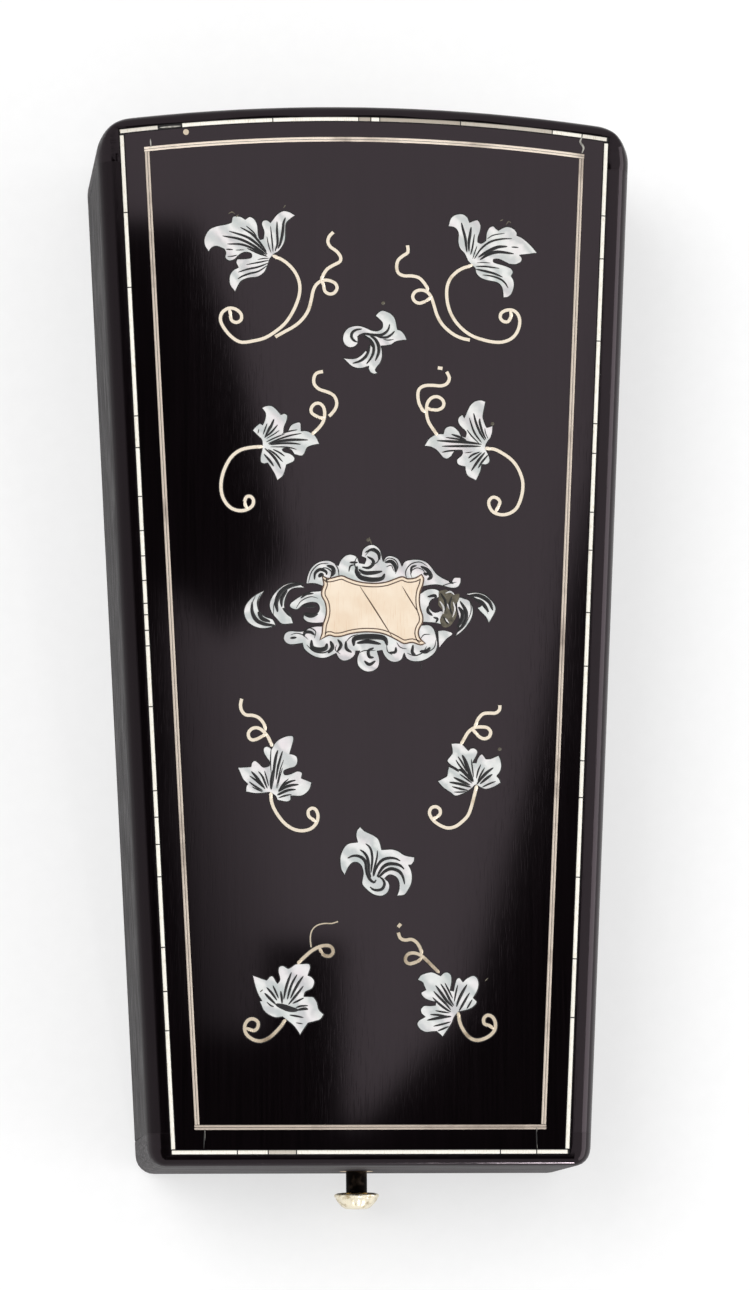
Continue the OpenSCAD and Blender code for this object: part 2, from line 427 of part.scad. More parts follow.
upper_left_wires = [
    [[-13.2, 22.3], [-14.2, 22.2], [-15.4, 21.9], [-16.4, 21.2], [-17.1, 20.2], [-17.6, 19], [-17.85, 17.7],
        [-17.75, 16.4], [-17.3, 15.4], [-16.6, 14.7], [-15.7, 14.4], [-14.8, 14.5], [-14.05, 15],
        [-13.9, 15.7], [-14.25, 16.15], [-14.75, 16.1], [-15, 15.5]],
    [[-6.4, 24.2], [-5.8, 24.8], [-5.3, 25.6], [-5.15, 26.5], [-5.3, 27.3], [-5.8, 27.75], [-6.4, 27.65],
        [-6.8, 27.1], [-6.7, 26.5], [-5.95, 26.05]],
    [[-4.65, 26.15], [-4.2, 26.6], [-3.75, 27.3], [-3.7, 28.1], [-4.1, 28.8], [-4.9, 29.2], [-5.8, 29.5],
        [-6.4, 30.1], [-6.45, 30.9], [-6.1, 31.5], [-5.3, 31.7]]];
upper_right_wires = [
    [[14.95, 22.35], [15.7, 22.3], [16.7, 21.8], [17.8, 21], [18.6, 19.9], [19.1, 18.5], [19.1, 17.2],
        [18.8, 16], [18.3, 15], [17.5, 14.4], [16.5, 14.2], [15.5, 14.5], [15, 15.2], [14.95, 15.9],
        [15.4, 16.35], [15.95, 16.25], [16.3, 15.8], [16.1, 15.2]],
    [[8.4, 24.35], [7.7, 25.4], [7.4, 26.3], [7.35, 27.2], [7.5, 28], [8, 28.6], [8.7, 28.75], [9.3, 28.4],
        [9.5, 27.9], [9.3, 27.4], [8.7, 27.1], [8, 27.15]],
    [[6.8, 27.2], [6.45, 27.9], [6.3, 28.9], [6.5, 29.7], [7.2, 30.1], [8.2, 30.15], [9.2, 30.1],
        [9.9, 30.4], [10.2, 31.1], [9.85, 31.9]],
    [[9.4, 32.25], [8.75, 32.35]]];
lower_left_wires = [
    [[-11.9, -20.45], [-11.85, -21], [-11.6, -21.8], [-11.1, -22.7], [-10.3, -23.7], [-9.3, -24.4],
        [-8.2, -24.65], [-7.1, -24.4], [-6.4, -23.7], [-6.2, -22.8], [-6.45, -22.1], [-6.9, -21.9],
        [-7.35, -22.2], [-7.35, -22.8], [-7.05, -23.15]],
    [[-11.9, -14], [-12.15, -13.4], [-12.5, -12.9], [-13, -12.4], [-13.6, -12.15], [-14.2, -12.3],
        [-14.6, -12.8], [-14.5, -13.4], [-14.1, -13.65], [-13.5, -13.5], [-12.95, -13.2]],
    [[-12.6, -11.95], [-12.9, -11.4], [-13.4, -10.9], [-14.1, -10.65], [-14.9, -10.6], [-15.4, -10.1],
        [-15.55, -9.4], [-15.4, -8.6]]];
lower_right_wires = [
    [[13.03, -19.5], [12.8, -20.4], [12.5, -21.5], [12.1, -22.6], [11.5, -23.3], [10.6, -24], [9.6, -24.25],
        [8.6, -23.9], [7.8, -23.3], [7.35, -22.5], [7.55, -21.85], [8.1, -21.65], [8.6, -21.95],
        [8.65, -22.5], [8.3, -22.9]],
    [[11.5, -13.65], [11.75, -13.2], [12.2, -12.5], [12.9, -12], [13.7, -11.9], [14.5, -12], [14.9, -12.5],
        [14.7, -13.1], [14.1, -13.35], [13.5, -13.1], [13.15, -12.7]],
    [[13.15, -11.45], [13.4, -10.9], [14, -10.3], [14.8, -10.2], [15.5, -10.2], [16, -9.8], [16.05, -9.2]]];
bottom_left_wires = [
    [[-10.45, -47.75], [-10.8, -48.25], [-11.4, -48.9], [-12.2, -49.6], [-13.2, -50], [-14.2, -49.8],
        [-15, -49.1], [-15.15, -48.2], [-14.75, -47.5], [-14.1, -47.35], [-13.55, -47.75], [-13.6, -48.4],
        [-14, -48.75], [-14.45, -48.65]],
    [[-8.4, -40.35], [-7.8, -39.8], [-7.1, -39.2], [-6.2, -38.7], [-5.3, -38.5], [-4.65, -38.7],
        [-4.45, -39.3], [-4.8, -39.75], [-5.4, -39.75], [-5.8, -39.45]]];
bottom_left_hairline = [[-7.1, -38.75], [-7.2, -37.6], [-7, -36.7], [-6.4, -36.1], [-5.5, -35.85],
    [-4.6, -35.85], [-3.8, -35.6]];
bottom_right_wires = [
    [[10.72, -47], [10.8, -47.6], [11.1, -48.4], [11.7, -49.3], [12.5, -49.85], [13.4, -49.85],
        [14.4, -49.4], [15.05, -48.7], [15.15, -47.8], [14.8, -47.1], [14.2, -46.9], [13.75, -47.3],
        [13.8, -47.9], [14.25, -48.1]],
    [[8, -41.4], [7.6, -41], [6.9, -40.3], [6.2, -39.7], [5.4, -39.4], [4.7, -39.5], [4.3, -40],
        [4.4, -40.5], [4.9, -40.7], [5.7, -40.45]],
    [[6.2, -39.1], [6, -38.6], [5.6, -38.05], [5, -37.75], [4.3, -37.85], [3.7, -37.6], [3.45, -36.9]],
    [[3.4, -36.3], [3.8, -35.85]]];

// Knots of the cartouche: the plate, then the scrolls that frame it
plate_knots = [
    [-5.5, 6.5, 1], [-5, 6.2], [-4.4, 6.2], [-3.2, 6.5], [-2.4, 6.2], [-1.4, 5.85], [-0.3, 5.65], [1, 5.6],
    [2.2, 5.75], [3.2, 6.1], [4.2, 6.45], [4.9, 6.2], [5.8, 6.3], [6.6, 6.75, 1], [6.85, 6.2], [6.7, 5.4],
    [6.4, 4.6], [6.3, 3.6], [6.4, 2.6], [6.7, 1.6], [6.65, 0.8], [6.3, 0.2], [6.15, -0.5], [6.4, -1.2],
    [7, -1.7, 1], [6.4, -1.9], [5.4, -1.6], [4.4, -1.75], [3.5, -1.3], [2.4, -0.75], [1.4, -0.45],
    [0.2, -0.35], [-1, -0.4], [-2.2, -0.6], [-3.2, -0.9], [-4.1, -0.95], [-4.8, -0.8], [-5.9, -1.4, 1],
    [-5.6, -0.6], [-5.5, 0.4], [-5.2, 1.3], [-5.05, 2.2], [-5.2, 3.2], [-5.6, 4], [-5.6, 4.7],
    [-5.35, 5.4], [-5.45, 6]];
crest_knots = [
    [-7.5, 5.5, 1], [-7.4, 6.3], [-7, 7.3], [-6.3, 8], [-5.4, 8.35], [-4.5, 8.3], [-3.6, 7.7, 1],
    [-3.3, 8.4], [-2.7, 9], [-2, 9.15], [-1.3, 8.85], [-1, 8.1, 1], [-0.4, 8, 1], [-0.2, 8.6],
    [-0.75, 8.9, 1], [-0.6, 9.7], [0, 10.25], [0.8, 10.35], [1.5, 9.8], [1.75, 9], [1.9, 8.3, 1],
    [2.3, 8.9], [3, 9], [3.8, 8.6], [4.2, 7.7, 1], [4.5, 8.3], [5.2, 8.55], [6.2, 8.6], [7.1, 8.35],
    [7.8, 7.7], [8.4, 6.9], [9, 6.45], [9.7, 6.1], [10.3, 5.9, 1], [10.6, 6.4], [11.4, 6.4, 1], [11.4, 5.8],
    [11, 5.2], [10.2, 5.1], [9.2, 5.35], [8.2, 5.5], [6.9, 5.3, 1], [5.5, 5.3, 1], [0.5, 4.6, 1],
    [-4.6, 5.3, 1], [-5.5, 5.2, 1], [-6.4, 5.5]];
base_knots = [
    [-5.4, 0.3, 1], [-6.2, 0.3], [-7, 0.15], [-7.8, -0.3], [-8.6, -0.35], [-9.5, -0.3], [-10.1, -0.6],
    [-10.3, -1.3], [-9.9, -1.85], [-9.2, -2], [-8, -1.8, 1], [-7.8, -2.5], [-7, -3.2], [-6, -3.6],
    [-5, -3.55], [-3.9, -3, 1], [-3.6, -3.6], [-3, -3.95], [-2.2, -3.75], [-1.6, -3.2], [-1.5, -2.7, 1],
    [-1, -2.7, 1], [-1.35, -3.6], [-1.2, -4.6], [-0.4, -5.2], [0.5, -5.2], [1.2, -4.7], [1.4, -3.8],
    [1.1, -2.7, 1], [1.7, -2.6, 1], [2, -3.3], [2.6, -3.9], [3.4, -4.05], [4.1, -3.7], [4.4, -2.9, 1],
    [4.7, -3.6], [5.5, -3.95], [6.5, -3.9], [7.4, -3.5], [8.2, -2.8], [8.5, -1.9], [8.35, -0.9],
    [8.1, 0], [7.5, 0.55], [6.4, 0.5, 1], [5.6, -0.5, 1], [0.2, 0.4, 1], [-4.9, -0.2, 1]];
left_scroll_knots = [
    [[-5.3, 0.75, 1], [-6.4, 0.65], [-7.4, 0.8], [-7.9, 1.3], [-7.6, 1.9], [-6.9, 1.8], [-6.2, 1.9],
        [-5.9, 2.5], [-6.2, 3.1], [-7, 3.2], [-7.9, 2.9], [-8.6, 2.3], [-9.4, 2.5], [-9.5, 3], [-8.8, 3.6],
        [-8, 4.1], [-7, 4.5], [-6.1, 4.6], [-5.3, 4.7, 1], [-4.9, 2.5, 1]],
    [[-7.7, 5, 1], [-8.6, 5.6], [-9.8, 5.5], [-10.8, 4.9], [-11.6, 4], [-12, 3], [-11.8, 2], [-11.1, 1.1],
        [-10.4, 0.5], [-9.1, 0.6, 1], [-9.4, 1.5], [-10.1, 2.4], [-10.1, 3.4], [-9.7, 4.4], [-9, 4.9]],
    [[-12.6, 4.6, 1], [-13.5, 4.2], [-14.4, 3.5], [-15, 2.6], [-15.1, 1.7], [-14.7, 0.8], [-13.9, 0.2],
        [-12.9, -0.05], [-12, 0.05], [-11.2, 0.35, 1], [-11.6, 1.1], [-12.5, 1.4], [-13.2, 2], [-13.4, 2.9],
        [-13.1, 3.8]]];
right_scroll_knots = [
    [[6.3, 4.3, 1], [7.2, 4.9], [8.2, 5], [8.9, 4.6], [8.7, 3.95], [7.9, 3.7], [7.5, 3.1], [7.7, 2.4],
        [8.3, 2.1], [9, 2.3], [9.6, 1.8], [9.7, 1.1], [9.2, 0.6], [8.2, 0.8], [7.3, 0.85], [6.5, 0.9, 1],
        [6.1, 2.6, 1]],
    [[11.2, 4, 1], [12.1, 3.8], [12.7, 3.2], [12.9, 2.2], [12.6, 1.2], [12, 0.3], [11.3, -0.4],
        [10.6, -0.9, 1], [11, -0.1], [11.2, 0.8], [11.1, 1.7], [10.9, 2.6], [10.9, 3.4]],
    [[12, 4.4, 1], [13.1, 4.6], [14.2, 4.4], [15, 3.8], [15.6, 3], [15.6, 2.2], [14.8, 0.85, 1],
        [14.4, 1.6], [13.7, 2.3], [13.4, 2.7, 1], [13.9, 3], [13.6, 3.6], [12.9, 4]]];

leaf_knots = [top_left_leaf, top_right_leaf, upper_left_leaf, upper_right_leaf,
    lower_left_leaf, lower_right_leaf, bottom_left_leaf, bottom_right_leaf];
wire_knots = [each top_left_wires, each top_right_wires, each upper_left_wires, each upper_right_wires,
    each lower_left_wires, each lower_right_wires, each bottom_left_wires, each bottom_right_wires];
frame_knots = [crest_knots, base_knots, each left_scroll_knots, each right_scroll_knots];

// Colours
ebony = "#1d1a1b";
pearl = "#d9dcdd";
bone = "#ece3cf";
gold_brass = "#d8b87c";
steel = "#a9abad";
silver = "#c9c6be";
velvet = "#7a1f2e";
silk = "#e6d3b0";
walnut = "#5a3f2a";

// Rails: the front and back run the full width and the sides butt between them
module front_zone() translate([-far / 2, rail_y - far]) square(far);
module back_zone() translate([-far / 2, back_y]) square(far);
module right_zone()
    polygon([[half_w(rail_y, side_wall), rail_y], [far, rail_y], [far, back_y],
        [half_w(back_y, side_wall), back_y]]);
module left_zone() mirror([1, 0]) right_zone();
module base_ring() polygon(flat(rim(0, 0)));
module base_rail() linear_extrude(base_h) intersection() { base_ring(); children(); }

// Hinge line, bevels and mortises
hinge_y = case_len / 2 - hinge_setback;
hinge_z = base_h + parting_gap / 2;
bevel = (lid_open + 0.6) / 2;
bevel_reach = 2 * hinge_setback;
groove_r = knuckle_r + 0.2;
mortise = 0.1;
module along_x(len) translate([-len / 2, 0, 0]) rotate([90, 0, 90]) linear_extrude(len) children();
// Wedge cleared behind the pin, below the parting line for the base and above it for the lid
module back_bevel(up)
    translate([0, hinge_y, hinge_z])
        along_x(far) polygon([[0, 0], [bevel_reach, -up * parting_gap],
            [bevel_reach, up * bevel_reach * tan(bevel)]]);
module hinge_groove() translate([0, hinge_y, hinge_z]) along_x(hinge_len + 2 * mortise) circle(groove_r);
module leaf_pocket(z0, z1)
    translate([-hinge_len / 2 - mortise, hinge_y - leaf_reach - mortise, z0])
        cube([hinge_len + 2 * mortise, leaf_reach + mortise, z1 - z0]);
screw_len = 4.5;
hinge_screws = [-hinge_len / 3, 0, hinge_len / 3];
screw_y = hinge_y - (leaf_reach + groove_r) / 2;
module screw_holes(up)
    for (x = hinge_screws)
        translate([x, screw_y, up > 0 ? lid_z : base_h]) mirror([0, 0, up > 0 ? 0 : 1])
            cylinder(r = screw_r + run, h = screw_len + run);
// Countersunk screw along +Z with its head at the bottom
head_grow = 1.9;
module wood_screw(len, seat)
    union() {
        cylinder(r1 = screw_r * head_grow, r2 = screw_r, h = seat);
        translate([0, 0, seat]) cylinder(r = screw_r, h = len - seat);
    }
knuckle_len = hinge_len / knuckles;
module hinge_leaf(up, first) {
    z = up > 0 ? lid_z : base_h - leaf_t;
    difference() {
        union() {
            translate([-hinge_len / 2, hinge_y - leaf_reach, z])
                cube([hinge_len, leaf_reach - groove_r, leaf_t]);
            for (i = [first:2:knuckles - 1])
                translate([-hinge_len / 2 + i * knuckle_len + run, 0, 0]) {
                    translate([0, hinge_y, hinge_z]) rotate([0, 90, 0])
                        cylinder(r = knuckle_r, h = knuckle_len - 2 * run);
                    translate([0, hinge_y - leaf_reach / 2 - groove_r / 2, z])
                        cube([knuckle_len - 2 * run, leaf_reach / 2 + groove_r / 2, leaf_t]);
                }
        }
        translate([-hinge_len, hinge_y, hinge_z]) rotate([0, 90, 0])
            cylinder(r = pin_r + run, h = 2 * hinge_len);
        for (x = hinge_screws)
            translate([x, screw_y, up > 0 ? lid_z : base_h]) mirror([0, 0, up > 0 ? 0 : 1])
                cylinder(r1 = screw_r * head_grow + run, r2 = screw_r + run, h = leaf_t);
    }
}
module hinge_screw_set(up)
    for (x = hinge_screws)
        translate([x, screw_y, up > 0 ? lid_z : base_h]) mirror([0, 0, up > 0 ? 0 : 1])
            wood_screw(screw_len, leaf_t);

// Catch: the keeper's lip under the spring's nose, and the button that pushes the spring back
lip_z = button_z + head_r - 0.45;
lip_t = 0.8;
nose_z = lip_z + lip_t + 0.2;
nose_t = 1.2;
keeper_w = spring_w - 1;
keeper_top = lid_z + 0.58 * lid_h;
keeper_room = 0.5;
lip_y = rail_y + keeper_t + catch_hold + 0.3;
spring_y = lip_y + 0.15;
nose_y = lip_y - catch_hold;
spring_foot = 7.6;
notch_w = spring_w + 6;
notch_y = spring_y + spring_foot + 1.2;
keeper_screw_x = keeper_w / 2 - 1.1;
keeper_screw_z = (lid_z + keeper_top) / 2 + 0.6;
foot_screw_y = spring_y + spring_foot - 2;
collar_t = 0.9;
collar_r = stem_r + 0.6;
bush_r = stem_r + run + bush_wall;
module keeper_recess()
    translate([-keeper_w / 2 - keeper_room, rail_y - keeper_room, lip_z - keeper_room / 2])
        cube([keeper_w + 2 * keeper_room, far, far]);
module along_y(y, z) translate([0, y, z]) rotate([-90, 0, 0]) children();

// Tools: where they lie in the bed
thimble_z = bottom_t + 1 + ease + thimble_r;
thimble_y = notch_y + 1 + ease;
tip_y = thimble_y + thimble_len + ease + 1 + ease;
bows_y = back_y - 2 * ease - 2.5;
bow_y = bows_y - bow_len / 2;
bow_x = bow_w / 2 + 0.6;
pivot_y = bows_y - bow_len - 24;
scissor_z = bed_z - 2 * half_t;
needle_x = -19;
needle_y = -6 - needle_len / 2;
stiletto_x = 19;
stiletto_y = -2 - stiletto_len / 2;
handle_len = 42;
bodkin_x = 11.6;
bodkin_y = pivot_y - 2 - bodkin_len;
ellipse_steps = 40;
function ellipse(w, h) = [for (i = [0:ellipse_steps - 1]) let (a = 360 * i / ellipse_steps)
    [w / 2 * cos(a), h / 2 * sin(a)]];
// One half of the scissors, with its bow on the right and its blade left of the middle
module scissors_half(z)
    translate([0, 0, z])
        difference() {
            linear_extrude(half_t) {
                polygon([[0.2, tip_y], [1, pivot_y - 10], [3.4, pivot_y - 2], [3.6, pivot_y + 3],
                    [4.2, pivot_y + 12], [bow_x - 0.8, bow_y - bow_len / 2 + bow_rim / 2],
                    [bow_x - 4.2, bow_y - bow_len / 2 + bow_rim], [1.2, pivot_y + 15], [-1.2, pivot_y + 6],
                    [-3.4, pivot_y + 2], [-3.6, pivot_y - 3], [-2.8, pivot_y - 14], [-0.4, tip_y]]);
                difference() {
                    translate([bow_x, bow_y]) polygon(ellipse(bow_w, bow_len));
                    translate([bow_x, bow_y]) polygon(ellipse(bow_w - 2 * bow_rim, bow_len - 2 * bow_rim));
                }
            }
            translate([0, pivot_y, -1]) cylinder(r = pivot_r + run, h = half_t + 2);
        }
bow_well = 2;
module scissors_recess() {
    e = 2 * ease;
    w = bow_x + bow_w / 2 + e;
    translate([0, 0, scissor_z])
        linear_extrude(far)
            polygon([[1 + e, tip_y - e], [3.6 + e, pivot_y - 4], [4.4 + e, pivot_y + 8],
                [w, bow_y - bow_len / 3], [w, bows_y + e], [-w, bows_y + e], [-w, bow_y - bow_len / 3],
                [-4.4 - e, pivot_y + 8], [-3.6 - e, pivot_y - 4], [-1 - e, tip_y - e]]);
    for (s = [-1, 1])
        translate([s * bow_x, bow_y, scissor_z - bow_well])
            linear_extrude(far) polygon(ellipse(bow_w - 2 * bow_rim - e, bow_len - 2 * bow_rim - e));
}
module lengthwise(x, y, z) translate([x, y, z]) rotate([-90, 0, 0]) children();

module base_bottom()
    color(walnut)
        difference() {
            linear_extrude(bottom_t) polygon(inside(side_wall, front_wall, back_wall));
            for (x = [-spring_w / 4, spring_w / 4])
                translate([x, foot_screw_y, bottom_t - foot_screw_len])
                    cylinder(r = screw_r + run, h = foot_screw_len + 1);
        }
module base_left_rail() color(ebony) base_rail() left_zone();
module base_right_rail() color(ebony) base_rail() right_zone();
module base_front_rail()
    color(ebony)
        difference() {
            base_rail() front_zone();
            along_y(front_y - 1, button_z) cylinder(r = bush_r, h = front_wall + 2);
            keeper_recess();
        }
module base_back_rail()
    color(ebony)
        difference() {
            base_rail() back_zone();
            back_bevel(-1);
            hinge_groove();
            leaf_pocket(base_h - leaf_t, far);
            screw_holes(-1);
        }
module tool_bed()
    color(velvet)
        difference() {
            translate([0, 0, bottom_t])
                linear_extrude(bed_z - bottom_t)
                    polygon(inside(side_wall + ease, front_wall + ease, back_wall + ease));
            translate([-notch_w / 2, front_y, 0]) cube([notch_w, notch_y - front_y, far]);
            scissors_recess();
            lengthwise(0, thimble_y - ease, thimble_z)
                cylinder(r = thimble_r + ease, h = thimble_len + 2 * ease);
            translate([-thimble_r - ease, thimble_y - ease, thimble_z])
                cube([2 * thimble_r + 2 * ease, thimble_len + 2 * ease, far]);
            lengthwise(needle_x, needle_y - ease, bed_z) cylinder(r = case_r + ease, h = needle_len + 2 * ease);
            lengthwise(stiletto_x, stiletto_y + stiletto_len - handle_len - ease, bed_z)
                cylinder(r = handle_r + ease, h = handle_len + 2 * ease);
            translate([stiletto_x - blade_r - ease, stiletto_y - ease, bed_z - blade_r - ease])
                cube([2 * (blade_r + ease), stiletto_len - handle_len + ease, far]);
            translate([bodkin_x - bodkin_w / 2 - ease, bodkin_y - ease, bed_z - bodkin_t])
                cube([bodkin_w + 2 * ease, bodkin_len + 2 * ease, far]);
        }
module button_bush()
    color(gold_brass)
        along_y(front_y, button_z)
            difference() {
                cylinder(r = bush_r, h = front_wall);
                translate([0, 0, -1]) cylinder(r = stem_r + run, h = front_wall + 2);
            }
foot_screw_len = 1.8;
module leaf_spring()
    color(steel)
        difference() {
            translate([-spring_w / 2, 0, 0]) {
                translate([0, spring_y, bottom_t]) cube([spring_w, spring_foot, spring_t]);
                translate([0, spring_y, bottom_t]) cube([spring_w, spring_t, nose_z + nose_t - bottom_t]);
                translate([0, nose_y, nose_z]) cube([spring_w, spring_y + spring_t - nose_y, nose_t]);
            }
            for (x = [-spring_w / 4, spring_w / 4])
                translate([x, foot_screw_y, 0]) cylinder(r = screw_r + run, h = 2 * bottom_t);
        }
module spring_screws()
    color(steel)
        for (x = [-spring_w / 4, spring_w / 4])
            translate([x, foot_screw_y, bottom_t - foot_screw_len]) {
                cylinder(r = screw_r, h = foot_screw_len + spring_t);
                translate([0, 0, foot_screw_len + spring_t]) cylinder(r = screw_r * head_grow, h = 0.6);
            }
module hinge_base_leaf() color(gold_brass) hinge_leaf(-1, 0);
module hinge_base_screws() color(steel) hinge_screw_set(-1);
module hinge_pin()
    color(steel)
        translate([-hinge_len / 2, hinge_y, hinge_z]) rotate([0, 90, 0]) cylinder(r = pin_r, h = hinge_len);
module scissors_left_half() color(steel) mirror([1, 0, 0]) scissors_half(scissor_z);
module scissors_right_half() color(steel) scissors_half(scissor_z + half_t);
module scissors_screw()
    color(silver)
        translate([0, pivot_y, scissor_z]) {
            cylinder(r = pivot_r, h = 2 * half_t);
            translate([0, 0, 2 * half_t]) cylinder(r1 = 1.8 * pivot_r, r2 = 1.4 * pivot_r, h = 0.6);
        }
rim_len = 1.4;
crown_r = 0.8 * thimble_r;
module thimble()
    color(silver)
        lengthwise(0, thimble_y, thimble_z)
            rotate_extrude()
                polygon([[thimble_r - thimble_wall - 0.2, 0], [thimble_r, 0], [thimble_r, rim_len],
                    [thimble_r - 0.4, rim_len], [crown_r, thimble_len - 2], [crown_r - 1.6, thimble_len - 0.5],
                    [0, thimble_len], [0, thimble_len - thimble_wall],
                    [crown_r - 1.8, thimble_len - 0.5 - thimble_wall],
                    [crown_r - thimble_wall, thimble_len - 2.3]]);
cap_len = 26;
spigot_len = 8;
spigot_r = case_r - 0.9;
end_wall = 2.5;
module needle_case_body()
    color(bone)
        lengthwise(needle_x, needle_y, bed_z)
            rotate_extrude()
                polygon([[0, 0], [1, 0], [2, 0.8], [2.6, 2.2], [case_r - 0.8, 4], [case_r, 6],
                    [case_r, needle_len - cap_len - 1.5], [case_r - 0.4, needle_len - cap_len],
                    [spigot_r, needle_len - cap_len], [spigot_r, needle_len - cap_len + spigot_len],
                    [needle_bore, needle_len - cap_len + spigot_len], [needle_bore, end_wall + 2],
                    [0, end_wall + 1]]);
module needle_case_cap()
    color(bone)
        lengthwise(needle_x, needle_y + needle_len - cap_len + run, bed_z)
            rotate_extrude()
                polygon([[spigot_r + run, 0], [case_r - 0.4, 0], [case_r, 1.5], [case_r, cap_len - 8],
                    [case_r - 0.8, cap_len - 5], [2.6, cap_len - 3], [2, cap_len - 1], [1, cap_len - run],
                    [0, cap_len - run], [0, cap_len - end_wall - 2], [needle_bore, cap_len - end_wall - 4],
                    [needle_bore, spigot_len + 2 * run], [spigot_r + run, spigot_len + 2 * run]]);
tang_len = 8;
tang_r = 0.7 * blade_r;
module stiletto_handle()
    color(bone)
        lengthwise(stiletto_x, stiletto_y + stiletto_len - handle_len, bed_z)
            rotate_extrude()
                polygon([[tang_r + run, 0], [blade_r + 0.9, 0], [handle_r - 0.8, 2], [handle_r - 0.8, 4],
                    [blade_r + 0.9, 5.5], [handle_r - 0.6, 14], [handle_r, 22], [handle_r - 0.5, 32],
                    [blade_r + 0.6, 36], [handle_r - 1, 38], [handle_r - 0.8, 40], [blade_r, handle_len],
                    [0, handle_len], [0, tang_len + run], [tang_r + run, tang_len + run]]);
module stiletto_blade()
    color(steel)
        lengthwise(stiletto_x, stiletto_y, bed_z)
            rotate_extrude()
                polygon([[0, 0], [0.15, 0], [blade_r, stiletto_len - handle_len - 3],
                    [blade_r, stiletto_len - handle_len], [tang_r, stiletto_len - handle_len],
                    [tang_r, stiletto_len - handle_len + tang_len], [0, stiletto_len - handle_len + tang_len]]);
module bodkin()
    color(silver)
        translate([bodkin_x, bodkin_y, bed_z - bodkin_t])
            linear_extrude(bodkin_t)
                difference() {
                    polygon([[-0.6, 0], [0.6, 0], [bodkin_w / 2 - 0.5, 6], [bodkin_w / 2, bodkin_len - 6],
                        [bodkin_w / 2 - 0.6, bodkin_len], [0.6 - bodkin_w / 2, bodkin_len],
                        [-bodkin_w / 2, bodkin_len - 6], [0.5 - bodkin_w / 2, 6]]);
                    translate([-bodkin_w / 8, bodkin_len - 12]) square([bodkin_w / 4, 9]);
                }

module lid_panel()
    color(walnut)
        translate([0, 0, panel_z]) linear_extrude(panel_t) polygon(inside(side_wall, front_wall, back_wall));
module lid_left_rail() color(ebony) lid_side_form(-1);
module lid_right_rail() color(ebony) lid_side_form(1);
module lid_front_rail()
    color(ebony)
        difference() {
            lid_front_form();
            for (x = [-keeper_screw_x, keeper_screw_x])
                translate([x, 0, 0]) along_y(rail_y - keeper_bite, keeper_screw_z)
                    cylinder(r = screw_r + run, h = far);
        }
module lid_back_rail()
    color(ebony)
        difference() {
            lid_back_form();
            back_bevel(1);
            hinge_groove();
            leaf_pocket(0, lid_z + leaf_t);
            screw_holes(1);
        }
module inlay() translate([0, 0, veneer_z]) linear_extrude(veneer_t) children();
module between(a, b) difference() { polygon(a); polygon(b); }
bone_out = plan(bone_side - bone_w / 2, bone_end - bone_w / 2, bone_end - bone_w / 2);
bone_in = plan(bone_side + bone_w / 2, bone_end + bone_w / 2, bone_end + bone_w / 2);
brass_out = plan(brass_side - brass_w / 2, brass_front - brass_w / 2, brass_back - brass_w / 2);
brass_in = plan(brass_side + brass_w / 2, brass_front + brass_w / 2, brass_back + brass_w / 2);
module field_veneer()
    color(ebony)
        inlay()
            difference() {
                polygon(brass_in);
                for (k = leaf_knots) polygon(outline(k));
                polygon(outline(upper_sprig));
                polygon(outline(lower_sprig));
                for (k = wire_knots) polygon(wire(k));
                polygon(wire(bottom_left_hairline, hairline_w));
                polygon(outline(plate_knots));
                for (k = frame_knots) polygon(outline(k));
            }
module border_veneer() color(ebony) inlay() between(bone_in, brass_out);
module bone_stringing() color(bone) inlay() between(bone_out, bone_in);
module brass_stringing() color(gold_brass) inlay() between(brass_out, brass_in);
module pearl_leaf(k) color(pearl) inlay() polygon(outline(k));
module leaf_top_left() pearl_leaf(top_left_leaf);
module leaf_top_right() pearl_leaf(top_right_leaf);
module leaf_upper_left() pearl_leaf(upper_left_leaf);
module leaf_upper_right() pearl_leaf(upper_right_leaf);
module leaf_lower_left() pearl_leaf(lower_left_leaf);
module leaf_lower_right() pearl_leaf(lower_right_leaf);
module leaf_bottom_left() pearl_leaf(bottom_left_leaf);
module leaf_bottom_right() pearl_leaf(bottom_right_leaf);
module sprig_upper() pearl_leaf(upper_sprig);
module sprig_lower() pearl_leaf(lower_sprig);
module brass_wires(list) color(gold_brass) for (k = list) inlay() polygon(wire(k));
module tendrils_top_left() brass_wires(top_left_wires);
module tendrils_top_right() brass_wires(top_right_wires);
module tendrils_upper_left() brass_wires(upper_left_wires);
module tendrils_upper_right() brass_wires(upper_right_wires);
module tendrils_lower_left() brass_wires(lower_left_wires);
module tendrils_lower_right() brass_wires(lower_right_wires);
module tendrils_bottom_left() {
    brass_wires(bottom_left_wires);
    color(gold_brass) inlay() polygon(wire(bottom_left_hairline, hairline_w));
}
module tendrils_bottom_right() brass_wires(bottom_right_wires);
module cartouche_plate() color(gold_brass) inlay() polygon(outline(plate_knots));
module pearl_scroll(k)
    color(pearl) inlay() difference() { polygon(outline(k)); polygon(outline(plate_knots)); }
module cartouche_crest() pearl_scroll(crest_knots);
module cartouche_base() pearl_scroll(base_knots);
module cartouche_left() for (k = left_scroll_knots) pearl_scroll(k);
module cartouche_right() for (k = right_scroll_knots) pearl_scroll(k);
lining_front = keeper_t + ease;
module lid_lining()
    color(silk)
        translate([0, 0, lining_z])
            linear_extrude(lining_t)
                polygon(inside(side_wall + ease, front_wall + lining_front + ease, back_wall + ease));
keeper_bite = 2.5;
